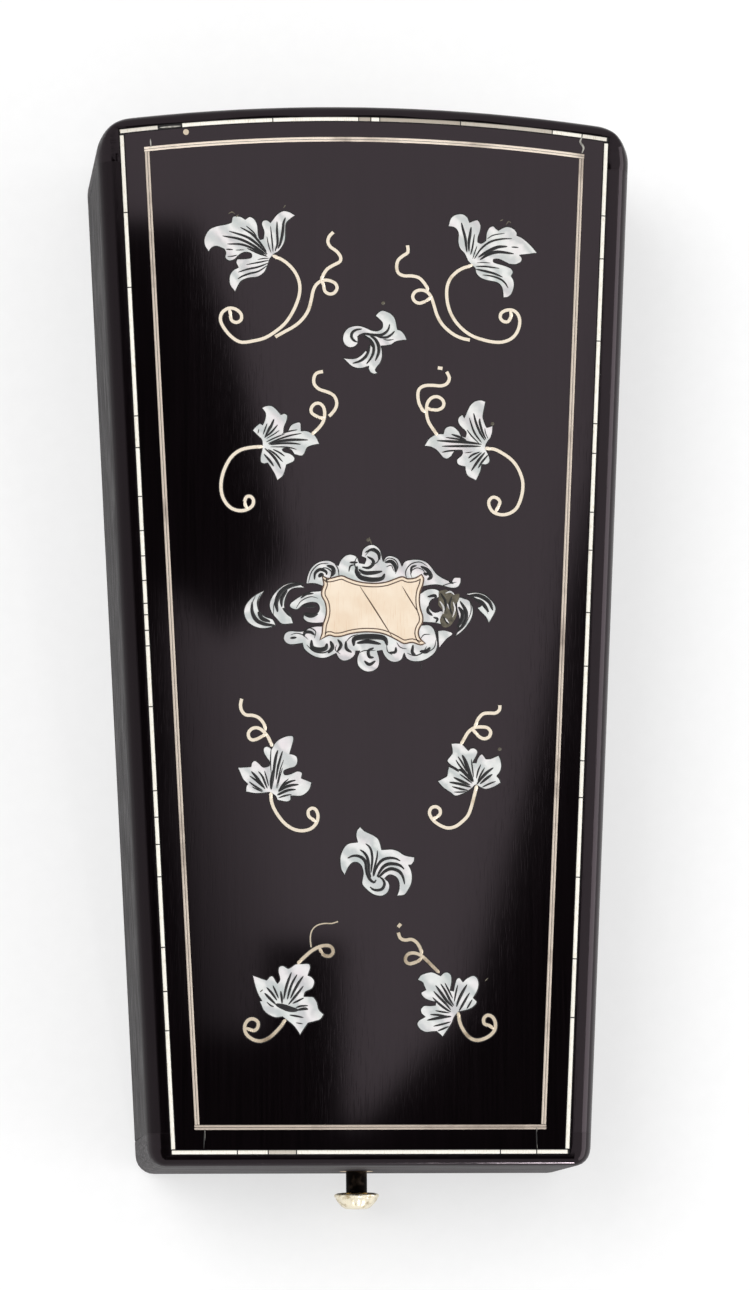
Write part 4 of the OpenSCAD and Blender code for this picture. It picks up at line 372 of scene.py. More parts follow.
# Engraved lines of the inlay, read from the picture: greatest width, then points x, y, in millimetres
ENGRAVED = {
    "leaf_top_left": [
        (.12, -11.9, 45.7, -12.6, 45.65, -13.3, 45.5), (.16, -11.9, 45.45, -13, 45.2, -14.7, 44.85),
        (.2, -12, 45.1, -13.2, 44.6, -14.5, 44.3, -15.7, 43.9),
        (.2, -12.1, 44.8, -13.2, 44.05, -14.3, 43.75, -15.2, 43.4, -15.75, 43.05), (.15, -17.2, 46.75, -16.3, 46.7),
        (.12, -17, 45.82, -16.3, 45.9, -15.8, 46.05), (.1, -16, 46.65, -14.9, 46.7),
        (.25, -12.3, 45.95, -13.5, 46.7, -15.2, 47.35, -17, 47.4),
        (.28, -12.2, 46.1, -13.6, 47.1, -15.4, 48, -17.6, 48.4),
        (.28, -12.1, 46.2, -13.2, 47.3, -14.6, 48.3, -16.8, 49),
        (.25, -12.2, 46.5, -13, 47.6, -14, 48.7, -15.4, 49.5), (.15, -13.4, 48.4, -13.9, 49, -14.7, 49.7),
        (.2, -12.1, 45.9, -13.2, 46.3, -14.6, 46.9), (.12, -11.65, 46.4, -11.95, 47.3, -12.15, 48.4),
        (.16, -11.4, 46.5, -11.5, 47.7, -11.7, 49.7), (.25, -11.15, 46.6, -10.85, 47.6, -10.9, 49, -10.9, 50.3),
        (.3, -10.8, 46.9, -10.5, 47.6, -10.2, 49, -10.1, 50.1, -9.85, 50.8)],
    "leaf_top_right": [
        (.28, 12.5, 46.8, 12.4, 47.7, 12.3, 48.6, 12, 49.8, 11.85, 50.5),
        (.3, 12.75, 46.9, 12.75, 48, 12.9, 49, 13.05, 50), (.18, 12.95, 46.5, 13.2, 47.5, 13.45, 49.1),
        (.12, 13.2, 46, 13.5, 46.9, 13.75, 47.6), (.22, 13.4, 46, 14.2, 47.2, 15.3, 48.1, 16.6, 48.5, 18.1, 48.6),
        (.12, 15, 48.5, 15.8, 49, 17.2, 49.25), (.35, 13.9, 46.2, 15, 46.9, 16.3, 47.5, 17.5, 47.6),
        (.15, 18, 47.55, 18.9, 47.5), (.35, 14.1, 45.9, 15.2, 46.6, 16.4, 46.9, 18.3, 46.7),
        (.18, 13.6, 45.05, 14.8, 45.05, 16.5, 44.85), (.25, 13.6, 44.7, 14.6, 44.5, 15.8, 44.2, 16.9, 43.75),
        (.2, 14.4, 44, 15.6, 43.85, 16.6, 43.5, 17.2, 43, 17.55, 42.4), (.1, 13.7, 45.5, 14.6, 45.55, 15.4, 45.5)],
    "sprig_upper": [
        (.3, -1.1, 35.4, -1.5, 35.6, -1.8, 36, -1.75, 36.5, -1.3, 36.9, -.5, 37.05),
        (.3, -.95, 36.25, -.2, 36.45, .7, 36.35, 1.6, 36.3, 2.2, 36.5, 2.7, 37, 2.9, 37.7),
        (.25, 1.2, 36.2, 1.8, 36.05, 2.5, 36.05, 3.1, 36.4, 3.5, 36.85), (.12, 2.1, 35.8, 2.7, 35.7, 3.4, 35.8),
        (.3, -.3, 36.1, .4, 35.8, .85, 35.1, .9, 34.3, .6, 33.5, 0, 32.7),
        (.35, .5, 36.2, 1.1, 35.8, 1.5, 35, 1.5, 34.1, 1.1, 33.1),
        (.3, .35, 35.1, .3, 34.4, -.1, 33.6, -.8, 33.05, -1.7, 32.75)],
    "leaf_upper_left": [
        (.3, -12.5, 23.4, -12, 24.4, -11.7, 24.9, -11.35, 25.75), (.2, -12.4, 23.5, -11.6, 24.2, -10.9, 25.05),
        (.15, -12.7, 23.8, -12.45, 24.5, -12.2, 25.2), (.1, -13.35, 23.9, -13.2, 24.5),
        (.12, -12.3, 23.3, -11.4, 23.85, -10.7, 24.35), (.15, -10.4, 23.95, -9.5, 24.25, -8.5, 24.45),
        (.15, -12.3, 22.9, -11.3, 23.4, -10, 23.95), (.18, -12.1, 22.7, -10.8, 23.25, -9.3, 23.75, -8, 24),
        (.3, -12, 22.6, -10.6, 23, -9, 23.2, -7.2, 23.2), (.2, -11.8, 22.55, -10.2, 22.75, -9, 22.75, -8.1, 22.65),
        (.15, -11.8, 22.3, -10.2, 22.3, -9.3, 22.2, -8.6, 22),
        (.28, -12.5, 22.1, -11.6, 21.3, -11, 20.5, -10.55, 19.6), (.2, -12.1, 22, -11.2, 21.4, -10.3, 20.45),
        (.18, -11.5, 22, -10.7, 21.6, -10.05, 21.15), (.25, -12.6, 21.4, -11.9, 20.6, -11.4, 19.9)],
    "leaf_upper_right": [
        (.25, 14.5, 23.4, 13.9, 24.4, 13.4, 25.7, 13.15, 26.75),
        (.25, 14.65, 23.5, 14.2, 24.5, 13.9, 25.6, 13.9, 26.1), (.2, 14.1, 23.1, 13.2, 24.4, 12.6, 26.2),
        (.1, 14.9, 23.6, 14.6, 24.3, 14.5, 24.9), (.15, 13.8, 23, 12.9, 23.9, 12.3, 24.7),
        (.3, 14.1, 22.9, 12.5, 23.1, 10.6, 23.2, 8.6, 23.3), (.25, 14, 22.65, 11.8, 22.65, 9.2, 22.6),
        (.2, 12.7, 23.15, 11.2, 23.5, 9.7, 23.7), (.25, 12.2, 23.4, 11.3, 23.8, 10.4, 24.1),
        (.18, 11.8, 22.15, 10.2, 22.05, 9.2, 21.85), (.28, 14.5, 21.9, 13.7, 20.9, 12.8, 19.6),
        (.2, 14.1, 21.9, 13.3, 21.2, 12.6, 20.65), (.2, 13.9, 21.95, 13, 21.6, 12.45, 21.15),
        (.22, 14.9, 21.6, 14.2, 20.8, 13.65, 19.95), (.1, 13, 21.95, 12, 21.8)],
    "cartouche_crest": [
        (.2, -6.5, 6, -6.4, 6.8, -5.8, 7.25, -5.1, 7, -5, 6.6), (.25, -6, 6.3, -5.7, 6.6, -5.35, 6.55),
        (.25, -5, 7.75, -4.3, 7.5, -4.15, 6.9, -4.5, 6.4), (.15, -2.2, 8.15, -1.2, 8.15),
        (.1, -2.3, 7, -2.1, 7.7, -1.5, 7.9), (.3, -1.3, 7.7, -1.35, 7, -.8, 6.3, .5, 6.05, 1.7, 6.2, 2.1, 6.8),
        (.25, -1.1, 7.3, -.4, 6.9, .7, 6.9, 1.8, 7.1), (.2, -.05, 8.9, .6, 8.5, .7, 8, .1, 7.5, -.7, 7.6),
        (.18, -.3, 9.4, .7, 9.8, 1.4, 9.3, 1.5, 8.5), (.25, 2.1, 8.2, 2.9, 8.3, 3.4, 7.7, 3.4, 7),
        (.15, 5.3, 6.8, 5.4, 7.6, 6, 7.85), (.25, 6.5, 7.75, 7.3, 7.3, 7.75, 6.5, 7.3, 6.1),
        (.2, 6.8, 6.9, 7.4, 6.7), (.15, 9.9, 6, 10.5, 5.65)],
    "cartouche_left": [
        (.25, -14.1, 3.2, -14.1, 2, -13.6, 1, -12.6, .5, -11.3, .35), (.25, -13.4, 2, -12.9, 1.2, -11.9, .8),
        (.3, -11, 2, -11.15, 3.2, -10.6, 4.4, -9.5, 5.2, -7.8, 5.5), (.2, -10.5, 2.6, -10.5, 3.6, -9.8, 4.7),
        (.2, -10.4, 2.5, -9.8, 1.9, -9.3, 1.4), (.2, -8, 2.8, -6.3, 2.7), (.25, -7.9, 1.8, -7, 1.55, -6.1, 1.8),
        (.15, -8.2, 3.7, -7.5, 4.2, -6.6, 4.3)],
    "cartouche_base": [
        (.15, -9.5, -1.2, -8.7, -1.1), (.2, -7.8, -1, -7.7, -.5, -7, -.45, -6.5, -.8),
        (.3, -6.9, -1.4, -6.8, -2.3, -6, -2.6, -5.2, -2.4, -5, -1.8), (.25, -4.6, -1.5, -4.35, -2.3, -4.9, -3),
        (.2, -3.7, -1.3, -3.3, -2, -3.8, -2.9), (.2, -2.7, -1.5, -2.65, -2.4, -2, -2.9),
        (.35, -1.75, -2.1, -1.6, -1.2, 0, -.95, 1.9, -1.1, 2.35, -2), (.25, -1.4, -1.75, 0, -1.55, 1.6, -1.85),
        (.2, .7, -2.3, .05, -2.7, .15, -3.4, .7, -3.5), (.2, -.5, -3.9, .15, -4.35, .9, -3.9),
        (.18, 3.4, -2.2, 3.3, -2.8, 2.5, -2.9), (.2, 5.5, -1.9, 5.4, -2.8, 5.8, -3.2),
        (.25, 6.3, -2.7, 7.1, -2.7, 7.6, -2.2), (.2, 8.5, -.1, 8.55, -1.7)],
    "cartouche_right": [
        (.2, 7.3, 4, 8.2, 4.15, 8.3, 3.7), (.2, 7.45, 2.95, 7.35, 2.2, 7.9, 1.7), (.15, 8, 1.5, 8.5, 1.3, 8.3, .85),
        (.25, 11.3, 3.5, 12, 2.2, 11.8, .8, 10.9, -.3), (.3, 11.1, 2.8, 11.6, 2, 11.5, 1.2, 10.9, .3),
        (.25, 12.3, 4.2, 13.6, 4.2, 14.8, 3.5, 15.3, 2.4), (.25, 13, 3.8, 14, 3.3, 14.8, 2.2)],
    "leaf_lower_left": [
        (.35, -11.87, -19.67, -11.8, -18.5, -11.6, -17.2),
        (.3, -11.67, -19, -11.47, -16.87, -11.27, -15.67, -11.04, -14.87),
        (.25, -11.27, -18.47, -11.07, -17.13, -10.8, -16.07, -10.47, -14.97),
        (.12, -11.27, -19.53, -11, -18.33, -10.73, -17.13, -10.33, -16.07),
        (.12, -11.13, -19.53, -10.8, -18.07, -10.47, -17), (.15, -10.8, -19.47, -10.33, -18.87, -9.73, -18.33),
        (.25, -11, -19.8, -10.33, -19.13, -9.67, -18.73, -8.87, -18.5),
        (.3, -11, -19.93, -10.2, -19.4, -9.4, -19.13, -8.53, -19.04),
        (.28, -11.13, -20.33, -10.73, -20.13, -9.8, -19.73, -8.87, -19.64),
        (.18, -11, -20.67, -10.2, -20.4, -9.4, -20.24),
        (.3, -12.6, -19.6, -13.13, -18.87, -13.73, -18.07, -14.27, -17.47),
        (.22, -12.33, -19.53, -12.6, -18.87, -12.93, -18.07, -13.4, -17.47),
        (.15, -12.17, -19.27, -12.4, -18.33, -12.67, -17.4), (.2, -12.87, -19.4, -13.67, -18.6, -14.47, -18),
        (.2, -12.87, -19.8, -13.8, -19.27, -14.53, -18.73), (.15, -12.87, -19.96, -13.53, -19.67, -14.2, -19.33),
        (.12, -11.87, -17.67, -11.93, -16.07, -11.84, -14.47)],
    "leaf_lower_right": [
        (.4, 12.73, -18.6, 12.27, -17.53, 11.8, -16.2, 11.4, -15.33),
        (.2, 11.93, -17.4, 11.4, -16.33, 10.87, -15.53),
        (.2, 12.6, -18.6, 11.93, -17.67, 11.13, -16.73, 10.6, -15.93),
        (.15, 12.76, -18.07, 12.63, -17, 12.49, -15.8),
        (.35, 12.6, -18.6, 11.93, -17.8, 11.4, -17.27, 10.87, -17.13),
        (.18, 13.1, -18.2, 13.33, -17.27, 13.67, -16.47), (.18, 13.27, -18.47, 13.67, -17.67, 14.13, -16.87),
        (.3, 13.13, -18.93, 13.8, -18.07, 14.47, -17.4, 15.2, -16.87),
        (.28, 13.53, -18.87, 14.33, -18.2, 15.07, -17.67), (.18, 13.8, -19.27, 14.6, -18.87, 15.47, -18.53),
        (.18, 12.6, -18.8, 11.8, -18.2, 11.07, -17.67), (.28, 12.33, -19, 11.27, -18.53, 10.33, -18.07),
        (.28, 12.47, -19.27, 11, -18.87, 9.8, -18.67), (.22, 12.07, -19.67, 11.13, -19.47, 10.13, -19.2),
        (.15, 11.93, -19.8, 11.13, -19.87, 10.33, -19.87)],
    "sprig_lower": [
        (.35, -2.64, -27.95, -2, -27.68, -1.36, -27.68, -.82, -27.95, -.45, -28.45, -.36, -29.18, -.23, -29.91,
         .09, -30.55, .55, -30.86, .82, -30.55),
        (.3, -1.14, -26.91, -.64, -27.27, -.27, -27.82, -.09, -28.64, -.05, -29.55, .18, -30.27),
        (.25, -.45, -26.18, 0, -26.55, .27, -27.18, .36, -28.09, .27, -29, .18, -29.73),
        (.2, .98, -27, .95, -27.73, .73, -28.64, .5, -29.55, .45, -30.18),
        (.3, 3.77, -28.27, 3.18, -27.98, 2.45, -27.91, 1.73, -28.09, 1.18, -28.55, .73, -29.36, .55, -30.09),
        (.35, 4.23, -29.27, 3.73, -28.82, 3.09, -28.64, 2.36, -28.64, 1.73, -28.95, 1.27, -29.55, .91, -30.18),
        (.35, 4.27, -31.09, 4.09, -30.27, 3.73, -29.64, 3.18, -29.32, 2.55, -29.23, 1.91, -29.5, 1.36, -30, 1,
         -30.27),
        (.3, 1.18, -30.18, 1.64, -30.55, 1.82, -31.09, 1.55, -31.64, 1, -31.82, .45, -31.73, .05, -31.41)],
    "leaf_bottom_left": [
        (.28, -10.44, -45, -10.19, -43.75, -9.88, -42.75, -9.5, -41.75),
        (.25, -10, -45, -9.75, -44, -9.38, -43, -8.81, -42),
        (.28, -9.63, -44.88, -9.13, -43.88, -8.63, -43, -8.06, -42.19),
        (.25, -9.88, -45.63, -9.25, -44.88, -8.63, -44.13, -8.06, -43.38),
        (.2, -9.38, -45.5, -8.75, -45.19, -8, -44.81), (.2, -9, -46, -8.38, -45.81, -7.5, -45.75),
        (.3, -8.88, -46.31, -8, -46.13, -7.5, -46.19), (.2, -9.75, -46.88, -9, -47, -8.06, -47.19),
        (.12, -9, -47.81, -8.13, -47.94), (.2, -11.06, -44.88, -11.44, -44, -11.75, -43.31),
        (.25, -11.25, -45.13, -11.88, -44.25, -12.5, -43.56), (.28, -11.38, -45.63, -12.13, -44.88, -12.75, -44.25),
        (.15, -11.63, -45.88, -12, -45.75, -12.5, -45.31), (.25, -10.63, -45.5, -10.69, -44.75, -10.81, -44),
        (.6, -11.4, -45.6, -10.5, -45.9, -9.6, -46.2, -8.7, -46.3)],
    "leaf_bottom_right": [
        (.3, 10, -45.88, 9.25, -45.13, 8.63, -44.25, 7.94, -43.31),
        (.25, 10.13, -45.75, 9.63, -45, 9.13, -44, 8.56, -43.13), (.18, 10, -44.88, 9.5, -43.88, 9.06, -43),
        (.25, 9.75, -46.25, 9.13, -45.5, 8.38, -44.75, 7.69, -44),
        (.25, 9.75, -46.5, 9.13, -46.13, 8.25, -45.44, 7.56, -44.75),
        (.18, 10.19, -45.25, 10.38, -44.25, 10.63, -43.25),
        (.3, 10.44, -45.88, 10.75, -45, 11.19, -44.13, 11.75, -43.19),
        (.25, 10.75, -46.38, 11.13, -45.75, 11.56, -45, 12.06, -44.19),
        (.18, 11.69, -46.13, 12, -45.63, 12.38, -45), (.18, 9.63, -46.63, 8.75, -46.5, 7.88, -46.35),
        (.25, 9.81, -47.06, 9.13, -47.06, 8.25, -46.88, 7.25, -46.81),
        (.3, 9.63, -47.06, 8.88, -47.13, 7.88, -47.31, 6.88, -47.5), (.2, 9.75, -47.69, 8.63, -48, 7.63, -48.23),
        (.2, 9.5, -48.25, 8.88, -48.5, 8.13, -48.81)],
    "cartouche_contours": [
        (.075, -6.52, 6.01, -6.19, 6.97, -5.24, 7.46, -4.44, 6.99, -4.6, 6.19, -5.24, 5.96, -5.62, 6.4),
        (.07, -7.25, 5.62, -6.83, 6.97, -5.93, 7.87, -4.76, 8.01), (.07, -3.49, 6.29, -3.61, 7.32, -4.05, 8.02),
        (.07, -1.25, 8.94, -1.57, 8.14, -1.38, 7.34, -0.75, 6.7),
        (.07, -0.29, 9.01, 0.35, 9.6, 1.15, 9.28, 1.34, 8.48, 0.82, 7.97, 0.34, 8.15),
        (.07, 1.94, 8.26, 2.58, 8.72, 3.38, 8.47, 3.72, 7.7, 3.4, 6.8), (.06, 2.26, 7.63, 2.89, 7.82, 3.21, 7.12),
        (.07, 4.8, 6.11, 4.65, 7.07, 5.29, 8, 6.41, 8.27, 7.37, 7.73),
        (.06, 5.44, 6.24, 5.28, 7.01, 5.93, 7.53, 6.72, 7.34, 7.1, 6.77),
        (.06, 8.95, 5.31, 9.91, 5.64, 10.87, 5.84), (.06, -9.4, -0.79, -8.77, -0.59, -7.98, -0.78, -7.28, -1.35),
        (.07, -7.78, -0.08, -7.02, 0.06, -6.39, -0.38, -6.55, -1.18),
        (.08, -7.5, -1.99, -6.56, -2.81, -5.29, -2.93, -4.3, -2.28), (.06, -3.85, -1.96, -3.98, -2.6, -3.38, -3.11),
        (.06, -2.7, -1.63, -2.1, -0.99, -1.24, -0.66), (.06, 2.26, -1.92, 2.38, -2.72, 2.98, -3.19),
        (.06, 3.47, -1.59, 3.94, -2.22, 4.74, -2.41), (.075, 4.74, -2.92, 5.69, -3.23, 6.65, -2.84, 7.17, -2.07),
        (.06, 6.34, -1.31, 6.82, -0.67, 7.62, -0.6), (.06, 7.29, -2.84, 8.09, -2.19, 8.32, -1.23),
        (.06, -1.15, -2.96, -0.36, -2.64, 0.92, -2.63),
        (.065, -13.67, 4.03, -14.12, 2.75, -13.68, 1.32, -12.48, 0.37),
        (.065, -13.04, 4.29, -13.48, 3.07, -13.04, 1.64, -11.97, 0.66),
        (.065, -11.52, 1.49, -11.39, 3.09, -10.5, 4.47, -8.97, 5.16),
        (.06, -8.76, 2.47, -8.12, 3.37, -7, 3.89, -6.05, 3.71),
        (.06, 11.55, 3.85, 12.45, 3.54, 12.63, 2.32, 12.17, 1.04),
        (.06, 12.2, 4.05, 13.25, 3.74, 14.23, 2.98, 14.71, 1.96)],
}
# Scratches on the gilt plate, cracks in the lid's veneer, and cracks filled with dried polish
PLATE_SCRATCHES = [(.16, -1, 5.3, 1, 2.2, 3, -1), (.14, 4.2, 5.3, 5.2, 3.6, 6.2, 2)]
VENEER_CRACKS = [(.16, -20, -60.6, -20.1, -62.9), (.12, 6.4, -4, 6.5, -5), (.14, 20, -60.4, 20.05, -62.9)]
PALE_CRACKS = [
    (.26, 26.95, 61.5, 26.7, 60.9, 27.1, 60.2, 26.9, 59.5), (.16, -26.43, 60.4, -26.35, 59.3),
    (.2, -25.3, 61.8, -24, 61.93, -22.7, 62.05), (.1, 20.1, -60.3, 20, -61.4, 20.1, -62.9),
    (.1, -19.95, -60.6, -20, -62)]

# Repairs beside the cartouche: outlines of a patch of shellac and a loose bit of pearl, in millimetres, and
# the streaks and scraps in the patch; a filled nail in the border, as x, y and radius
SHELLAC_PATCH = (8.7, 4.7, 9.6, 4.9, 10.4, 4.3, 11.2, 4.4, 11, 3.4, 10.5, 2.9, 10.9, 1.9, 10.1, 0.5, 9.2, 0.3, 8.8,
                 1.2, 9.2, 2.2, 8.6, 3)
PEARL_CHIP = (8.6, -0.2, 9.4, -0.15, 10.3, -0.5, 9.6, -1.1, 9, -1.8, 8.7, -2.2)
PATCH_STREAKS = [
    (.3, 8.9, 4.5, 9.5, 3.4, 9.4, 2.2), (.25, 10.3, 4.1, 10, 3, 10.3, 1.8), (.2, 9.2, 1.6, 9.6, 0.9, 9.9, 0.7)]
PATCH_SCRAPS = [
    (.24, 8.8, 3.5, 9.25, 2.7, 9.2, 1.9), (.2, 10.45, 3.4, 10.65, 2.5, 10.35, 1.5),
    (.2, 9.5, 4.45, 10.1, 4.65, 10.6, 4.3), (.2, 9.45, 1.4, 9.9, .7), (.15, 9.7, 3.2, 9.95, 2.5)]
NAIL = (-22.05, 61.3, 0.36)
# Crumbs of shellac at the tips of the leaves
LEAF_SCRAPS = [
    (.42, 1.91, 40.18, 2.13, 40.3, 2.33, 40.4), (.42, 15.77, -14.73, 15.99, -14.61, 16.19, -14.51),
    (.42, 15.25, 25.34, 15.47, 25.46, 15.67, 25.56), (.42, -0.12, 10.83, 0.1, 10.95, 0.3, 11.05),
    (.14, -16.92, 51.14, -16.43, 51.4, -16.06, 51.15), (.14, -10.1, 52, -9.85, 52.38),
    (.14, 17.37, 50.3, 17.68, 50.74, 17.99, 50.56), (.14, 13.94, -42.77, 14.31, -42.41),
    (.14, -15.94, 50.78, -15.63, 51.1), (.14, 0.55, 10.32, 0.19, 11.3), (.14, 16.63, 50.79, 17, 50.98),
    (.14, -13.3, -44.12, -12.94, -43.82)]

# Where the bone string's pieces end, along y on the sides and along x on the back and the front, in
# millimetres, and how stained each piece is; 1 is a lost piece, and the last piece runs to the corner
BONE_ENDS = (
    [(y, 0.05) for y in (-48.7, -44, -38.7, -30.2, -26.3, -23, -19.8, -9.6, -2.2, -0.3, 1.6, 3, 5.8, 8.8, 11.9, 16.1,
                         22.1, 26, 41.9, 51.2)] + [(99, 0.15)],
    [(y, 0.05) for y in (-47.1, -40, -30.1, -20.4, -15.9, -4.3, 2.3, 10, 14.7, 22, 25.7, 36, 46.3, 51.7)]
    + [(99, 0.1)],
    [(-25.4, 0.3), (-22.5, 1), (-11.3, 0.03), (-0.7, 0.02), (0.8, 0.75), (1.9, 0), (11.9, 0.8), (23.3, 0.65),
     (27, 0.05), (99, 0.25)],
    [(-16, 0.05), (-12.3, 0.03), (-8.9, 0.55), (15.7, 0), (20.1, 0.06), (99, 0.04)],
)

# Short lengths of wire that close the curls and meet the leaves, as x, y, all of one width, in millimetres
JOIN_WIDTH = 0.42
TENDRIL_JOINS = [
    (-16.6, 38.3, -16.7, 38.9, -16.8, 39.4), (-5.15, 42.2, -5.3, 42.7, -5.55, 43.1),
    (17.75, 38.5, 17.9, 39.05, 17.75, 39.65), (7.1, 40.5, 7.7, 40.85, 8.1, 41.3),
    (-14.95, 15.7, -14.9, 15.1, -14.6, 14.6), (-6.1, 26.15, -5.6, 25.95, -5.1, 26.1),
    (16.25, 15.4, 15.95, 14.95, 15.7, 14.5), (8.2, 27.1, 7.7, 27.2, 7.3, 27.5),
    (-7.2, -23, -6.8, -23.3, -6.4, -23.6), (-13.1, -13.3, -12.7, -13.05, -12.3, -13),
    (8.4, -22.8, 8, -23.05, 7.6, -23.1), (13.3, -12.9, 12.95, -12.5, 12.6, -12.1),
    (-14.2, -48.75, -14.6, -48.6, -15.1, -48.4), (-5.7, -39.5, -5.95, -39.15, -6.1, -38.7),
    (14, -48, 14.5, -48.2, 15, -48.6), (5.5, -40.5, 5.95, -40.3, 6.4, -39.8),
    (-10.7, 45.75, -11.1, 45.9, -11.5, 46.05), (12.4, 44.95, 12.8, 45.1, 13.2, 45.25),
    (-13.6, 22.3, -13.1, 22.3, -12.7, 22.35), (15.3, 22.35, 14.8, 22.4, 14.5, 22.4),
    (-11.9, -20.8, -11.9, -20.3, -11.95, -20), (12.95, -19.9, 13.05, -19.4, 13.15, -19),
    (-10.65, -48, -10.4, -47.65, -10.2, -47.4), (10.75, -47.3, 10.7, -46.9, 10.6, -46.5),
    (-6.2, 24.4, -6.5, 24.1, -6.75, 23.85), (8.2, 24.6, 8.5, 24.2, 8.7, 23.95),
    (-11.95, -13.8, -11.8, -14.2, -11.75, -14.45), (11.6, -13.45, 11.4, -13.8, 11.25, -14.1),
    (-8.2, -40.2, -8.55, -40.5, -8.8, -40.7), (7.8, -41.2, 8.15, -41.55, 8.4, -41.8),
    (-5.2, 43.75, -5.4, 43.4, -5.5, 43), (7.35, 42.65, 7.55, 42.3, 7.6, 41.8), (6.65, 27.5, 6.85, 27.1, 7.2, 26.75),
    (-12.75, -11.7, -12.6, -12.05, -12.5, -12.5), (13.3, -11.2, 13.1, -11.6, 12.9, -12),
    (6.1, -38.8, 6.25, -39.2, 6.2, -39.7)]


def dress(finish_key, *nodes):
    """Gives CAD nodes whose shape is right a better material."""
    for name in nodes:
        mesh = NODE[name].data
        if not mesh.materials:
            mesh.materials.append(None)
        for i in range(len(mesh.materials)):
            mesh.materials[i] = finish(finish_key)


# Faces that meet at less than FLAT are one flat, edges of more than SHARP are softened
FLAT, SHARP = math.radians(0.4), math.radians(50)


def merged(node, whole=False):
    """A bmesh of a CAD node with its loose triangles joined, and with each flat as one face if whole is set."""
    source = NODE[node].data
    plain = bpy.data.meshes.new("plain")
    plain.from_pydata([v.co[:] for v in source.vertices], [], [p.vertices[:] for p in source.polygons])
    work = bmesh.new()
    work.from_mesh(plain)
    bpy.data.meshes.remove(plain)
    bmesh.ops.remove_doubles(work, verts=work.verts[:], dist=1e-6)
    if whole:
        bmesh.ops.dissolve_limit(work, angle_limit=FLAT, verts=work.verts[:], edges=work.edges[:])
    return work


def plain_mesh(name, work):
    """A mesh from a bmesh, which is used up."""
    mesh = bpy.data.meshes.new(name)
    work.to_mesh(mesh)
    work.free()
    return mesh


def smooth_mesh(name, work, angle=35):
    """A mesh from a bmesh, shaded smooth except where faces meet at more than the angle."""
    mesh = plain_mesh(name, work)
    mesh.shade_smooth()
    mesh.set_sharp_from_angle(angle=math.radians(angle))
    return mesh


def placed(name, data):
    """An object of a mesh, a camera or a lamp, linked to the scene."""
    made = bpy.data.objects.new(name, data)
    bpy.context.scene.collection.objects.link(made)
    return made


def applied(holder):
    """The plain mesh that an object's modifiers make; the object itself goes."""
    made = bpy.data.meshes.new_from_object(holder.evaluated_get(bpy.context.evaluated_depsgraph_get()))
    bpy.data.objects.remove(holder)
    return made


def piece(name, mesh, body, nodes=(), finish_key=None):
    """Places a finished mesh: it rides its body and stands for its CAD nodes."""
    if finish_key:
        mesh.materials.append(finish(finish_key))
    made = placed(name, mesh)
    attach(made, body)
    if nodes:
        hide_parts(*nodes)
    return made


def softened(node, finish_key, edge, steps=2, shape=None, round_from=None):
    """A copy of a CAD node with its sharp edges slightly rounded, as a worker's hand and wear leave them.

    round_from is a y and a rounding, in millimetres, for the edges beyond that y.
    """
    work = merged(node, whole=True)
    sharp = [e for e in work.edges if len(e.link_faces) == 2 and e.calc_face_angle(0) > SHARP]
    groups = [(sharp, edge, steps)]
    if round_from:
        beyond = [e for e in sharp if min(v.co.y for v in e.verts) > round_from[0] * MM]
        groups = [(beyond, round_from[1] * MM, 5), ([e for e in sharp if e not in beyond], edge, steps)]
    for edges, offset, segments in groups:
        bmesh.ops.bevel(work, geom=[e for e in edges if e.is_valid], offset=offset, segments=segments, profile=0.5,
                        affect="EDGES", clamp_overlap=True)
    if shape:
        shape(work)
    holder = placed(node, smooth_mesh(node, work))
    # Large faces keep their own direction, so that flats stay flat beside the rounding
    holder.modifiers.new("flats", "WEIGHTED_NORMAL").keep_sharp = True
    return piece(node + "_soft", applied(holder), NODE[node]["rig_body"], [node], finish_key)


def grown(name, mesh, tree, **inputs):
    """Runs a Geometry Nodes tree on a mesh and returns the result as a plain mesh."""
    holder = placed(name, mesh)
    modifier = holder.modifiers.new("nodes", "NODES")
    modifier.node_group = tree
    for item in tree.interface.items_tree:
        if item.in_out == "INPUT" and item.name in inputs:
            modifier[item.identifier] = inputs[item.name]
    made = applied(holder)
    if not made.polygons:
        raise RuntimeError(name + " came out empty")
    return made


def node_tree(name, inputs):
    """An empty Geometry Nodes tree with named inputs, and the outputs of its start."""
    tree = bpy.data.node_groups.new(name, "GeometryNodeTree")
    tree.is_modifier = True
    tree.interface.new_socket("Geometry", in_out="INPUT", socket_type="NodeSocketGeometry")
    for key, value in inputs.items():
        tree.interface.new_socket(key, in_out="INPUT", socket_type="NodeSocketFloat").default_value = value
    tree.interface.new_socket("Geometry", in_out="OUTPUT", socket_type="NodeSocketGeometry")
    return tree, add(tree, "NodeGroupInput").outputs


def tree_end(tree, shape, finish_key):
    """Ends a Geometry Nodes tree: real faces, with a finish."""
    real = add(tree, "GeometryNodeRealizeInstances", {"Geometry": shape})
    painted = add(tree, "GeometryNodeSetMaterial", {"Geometry": real, "Material": finish(finish_key)})
    add(tree, "NodeGroupOutput", {"Geometry": painted})
    return tree


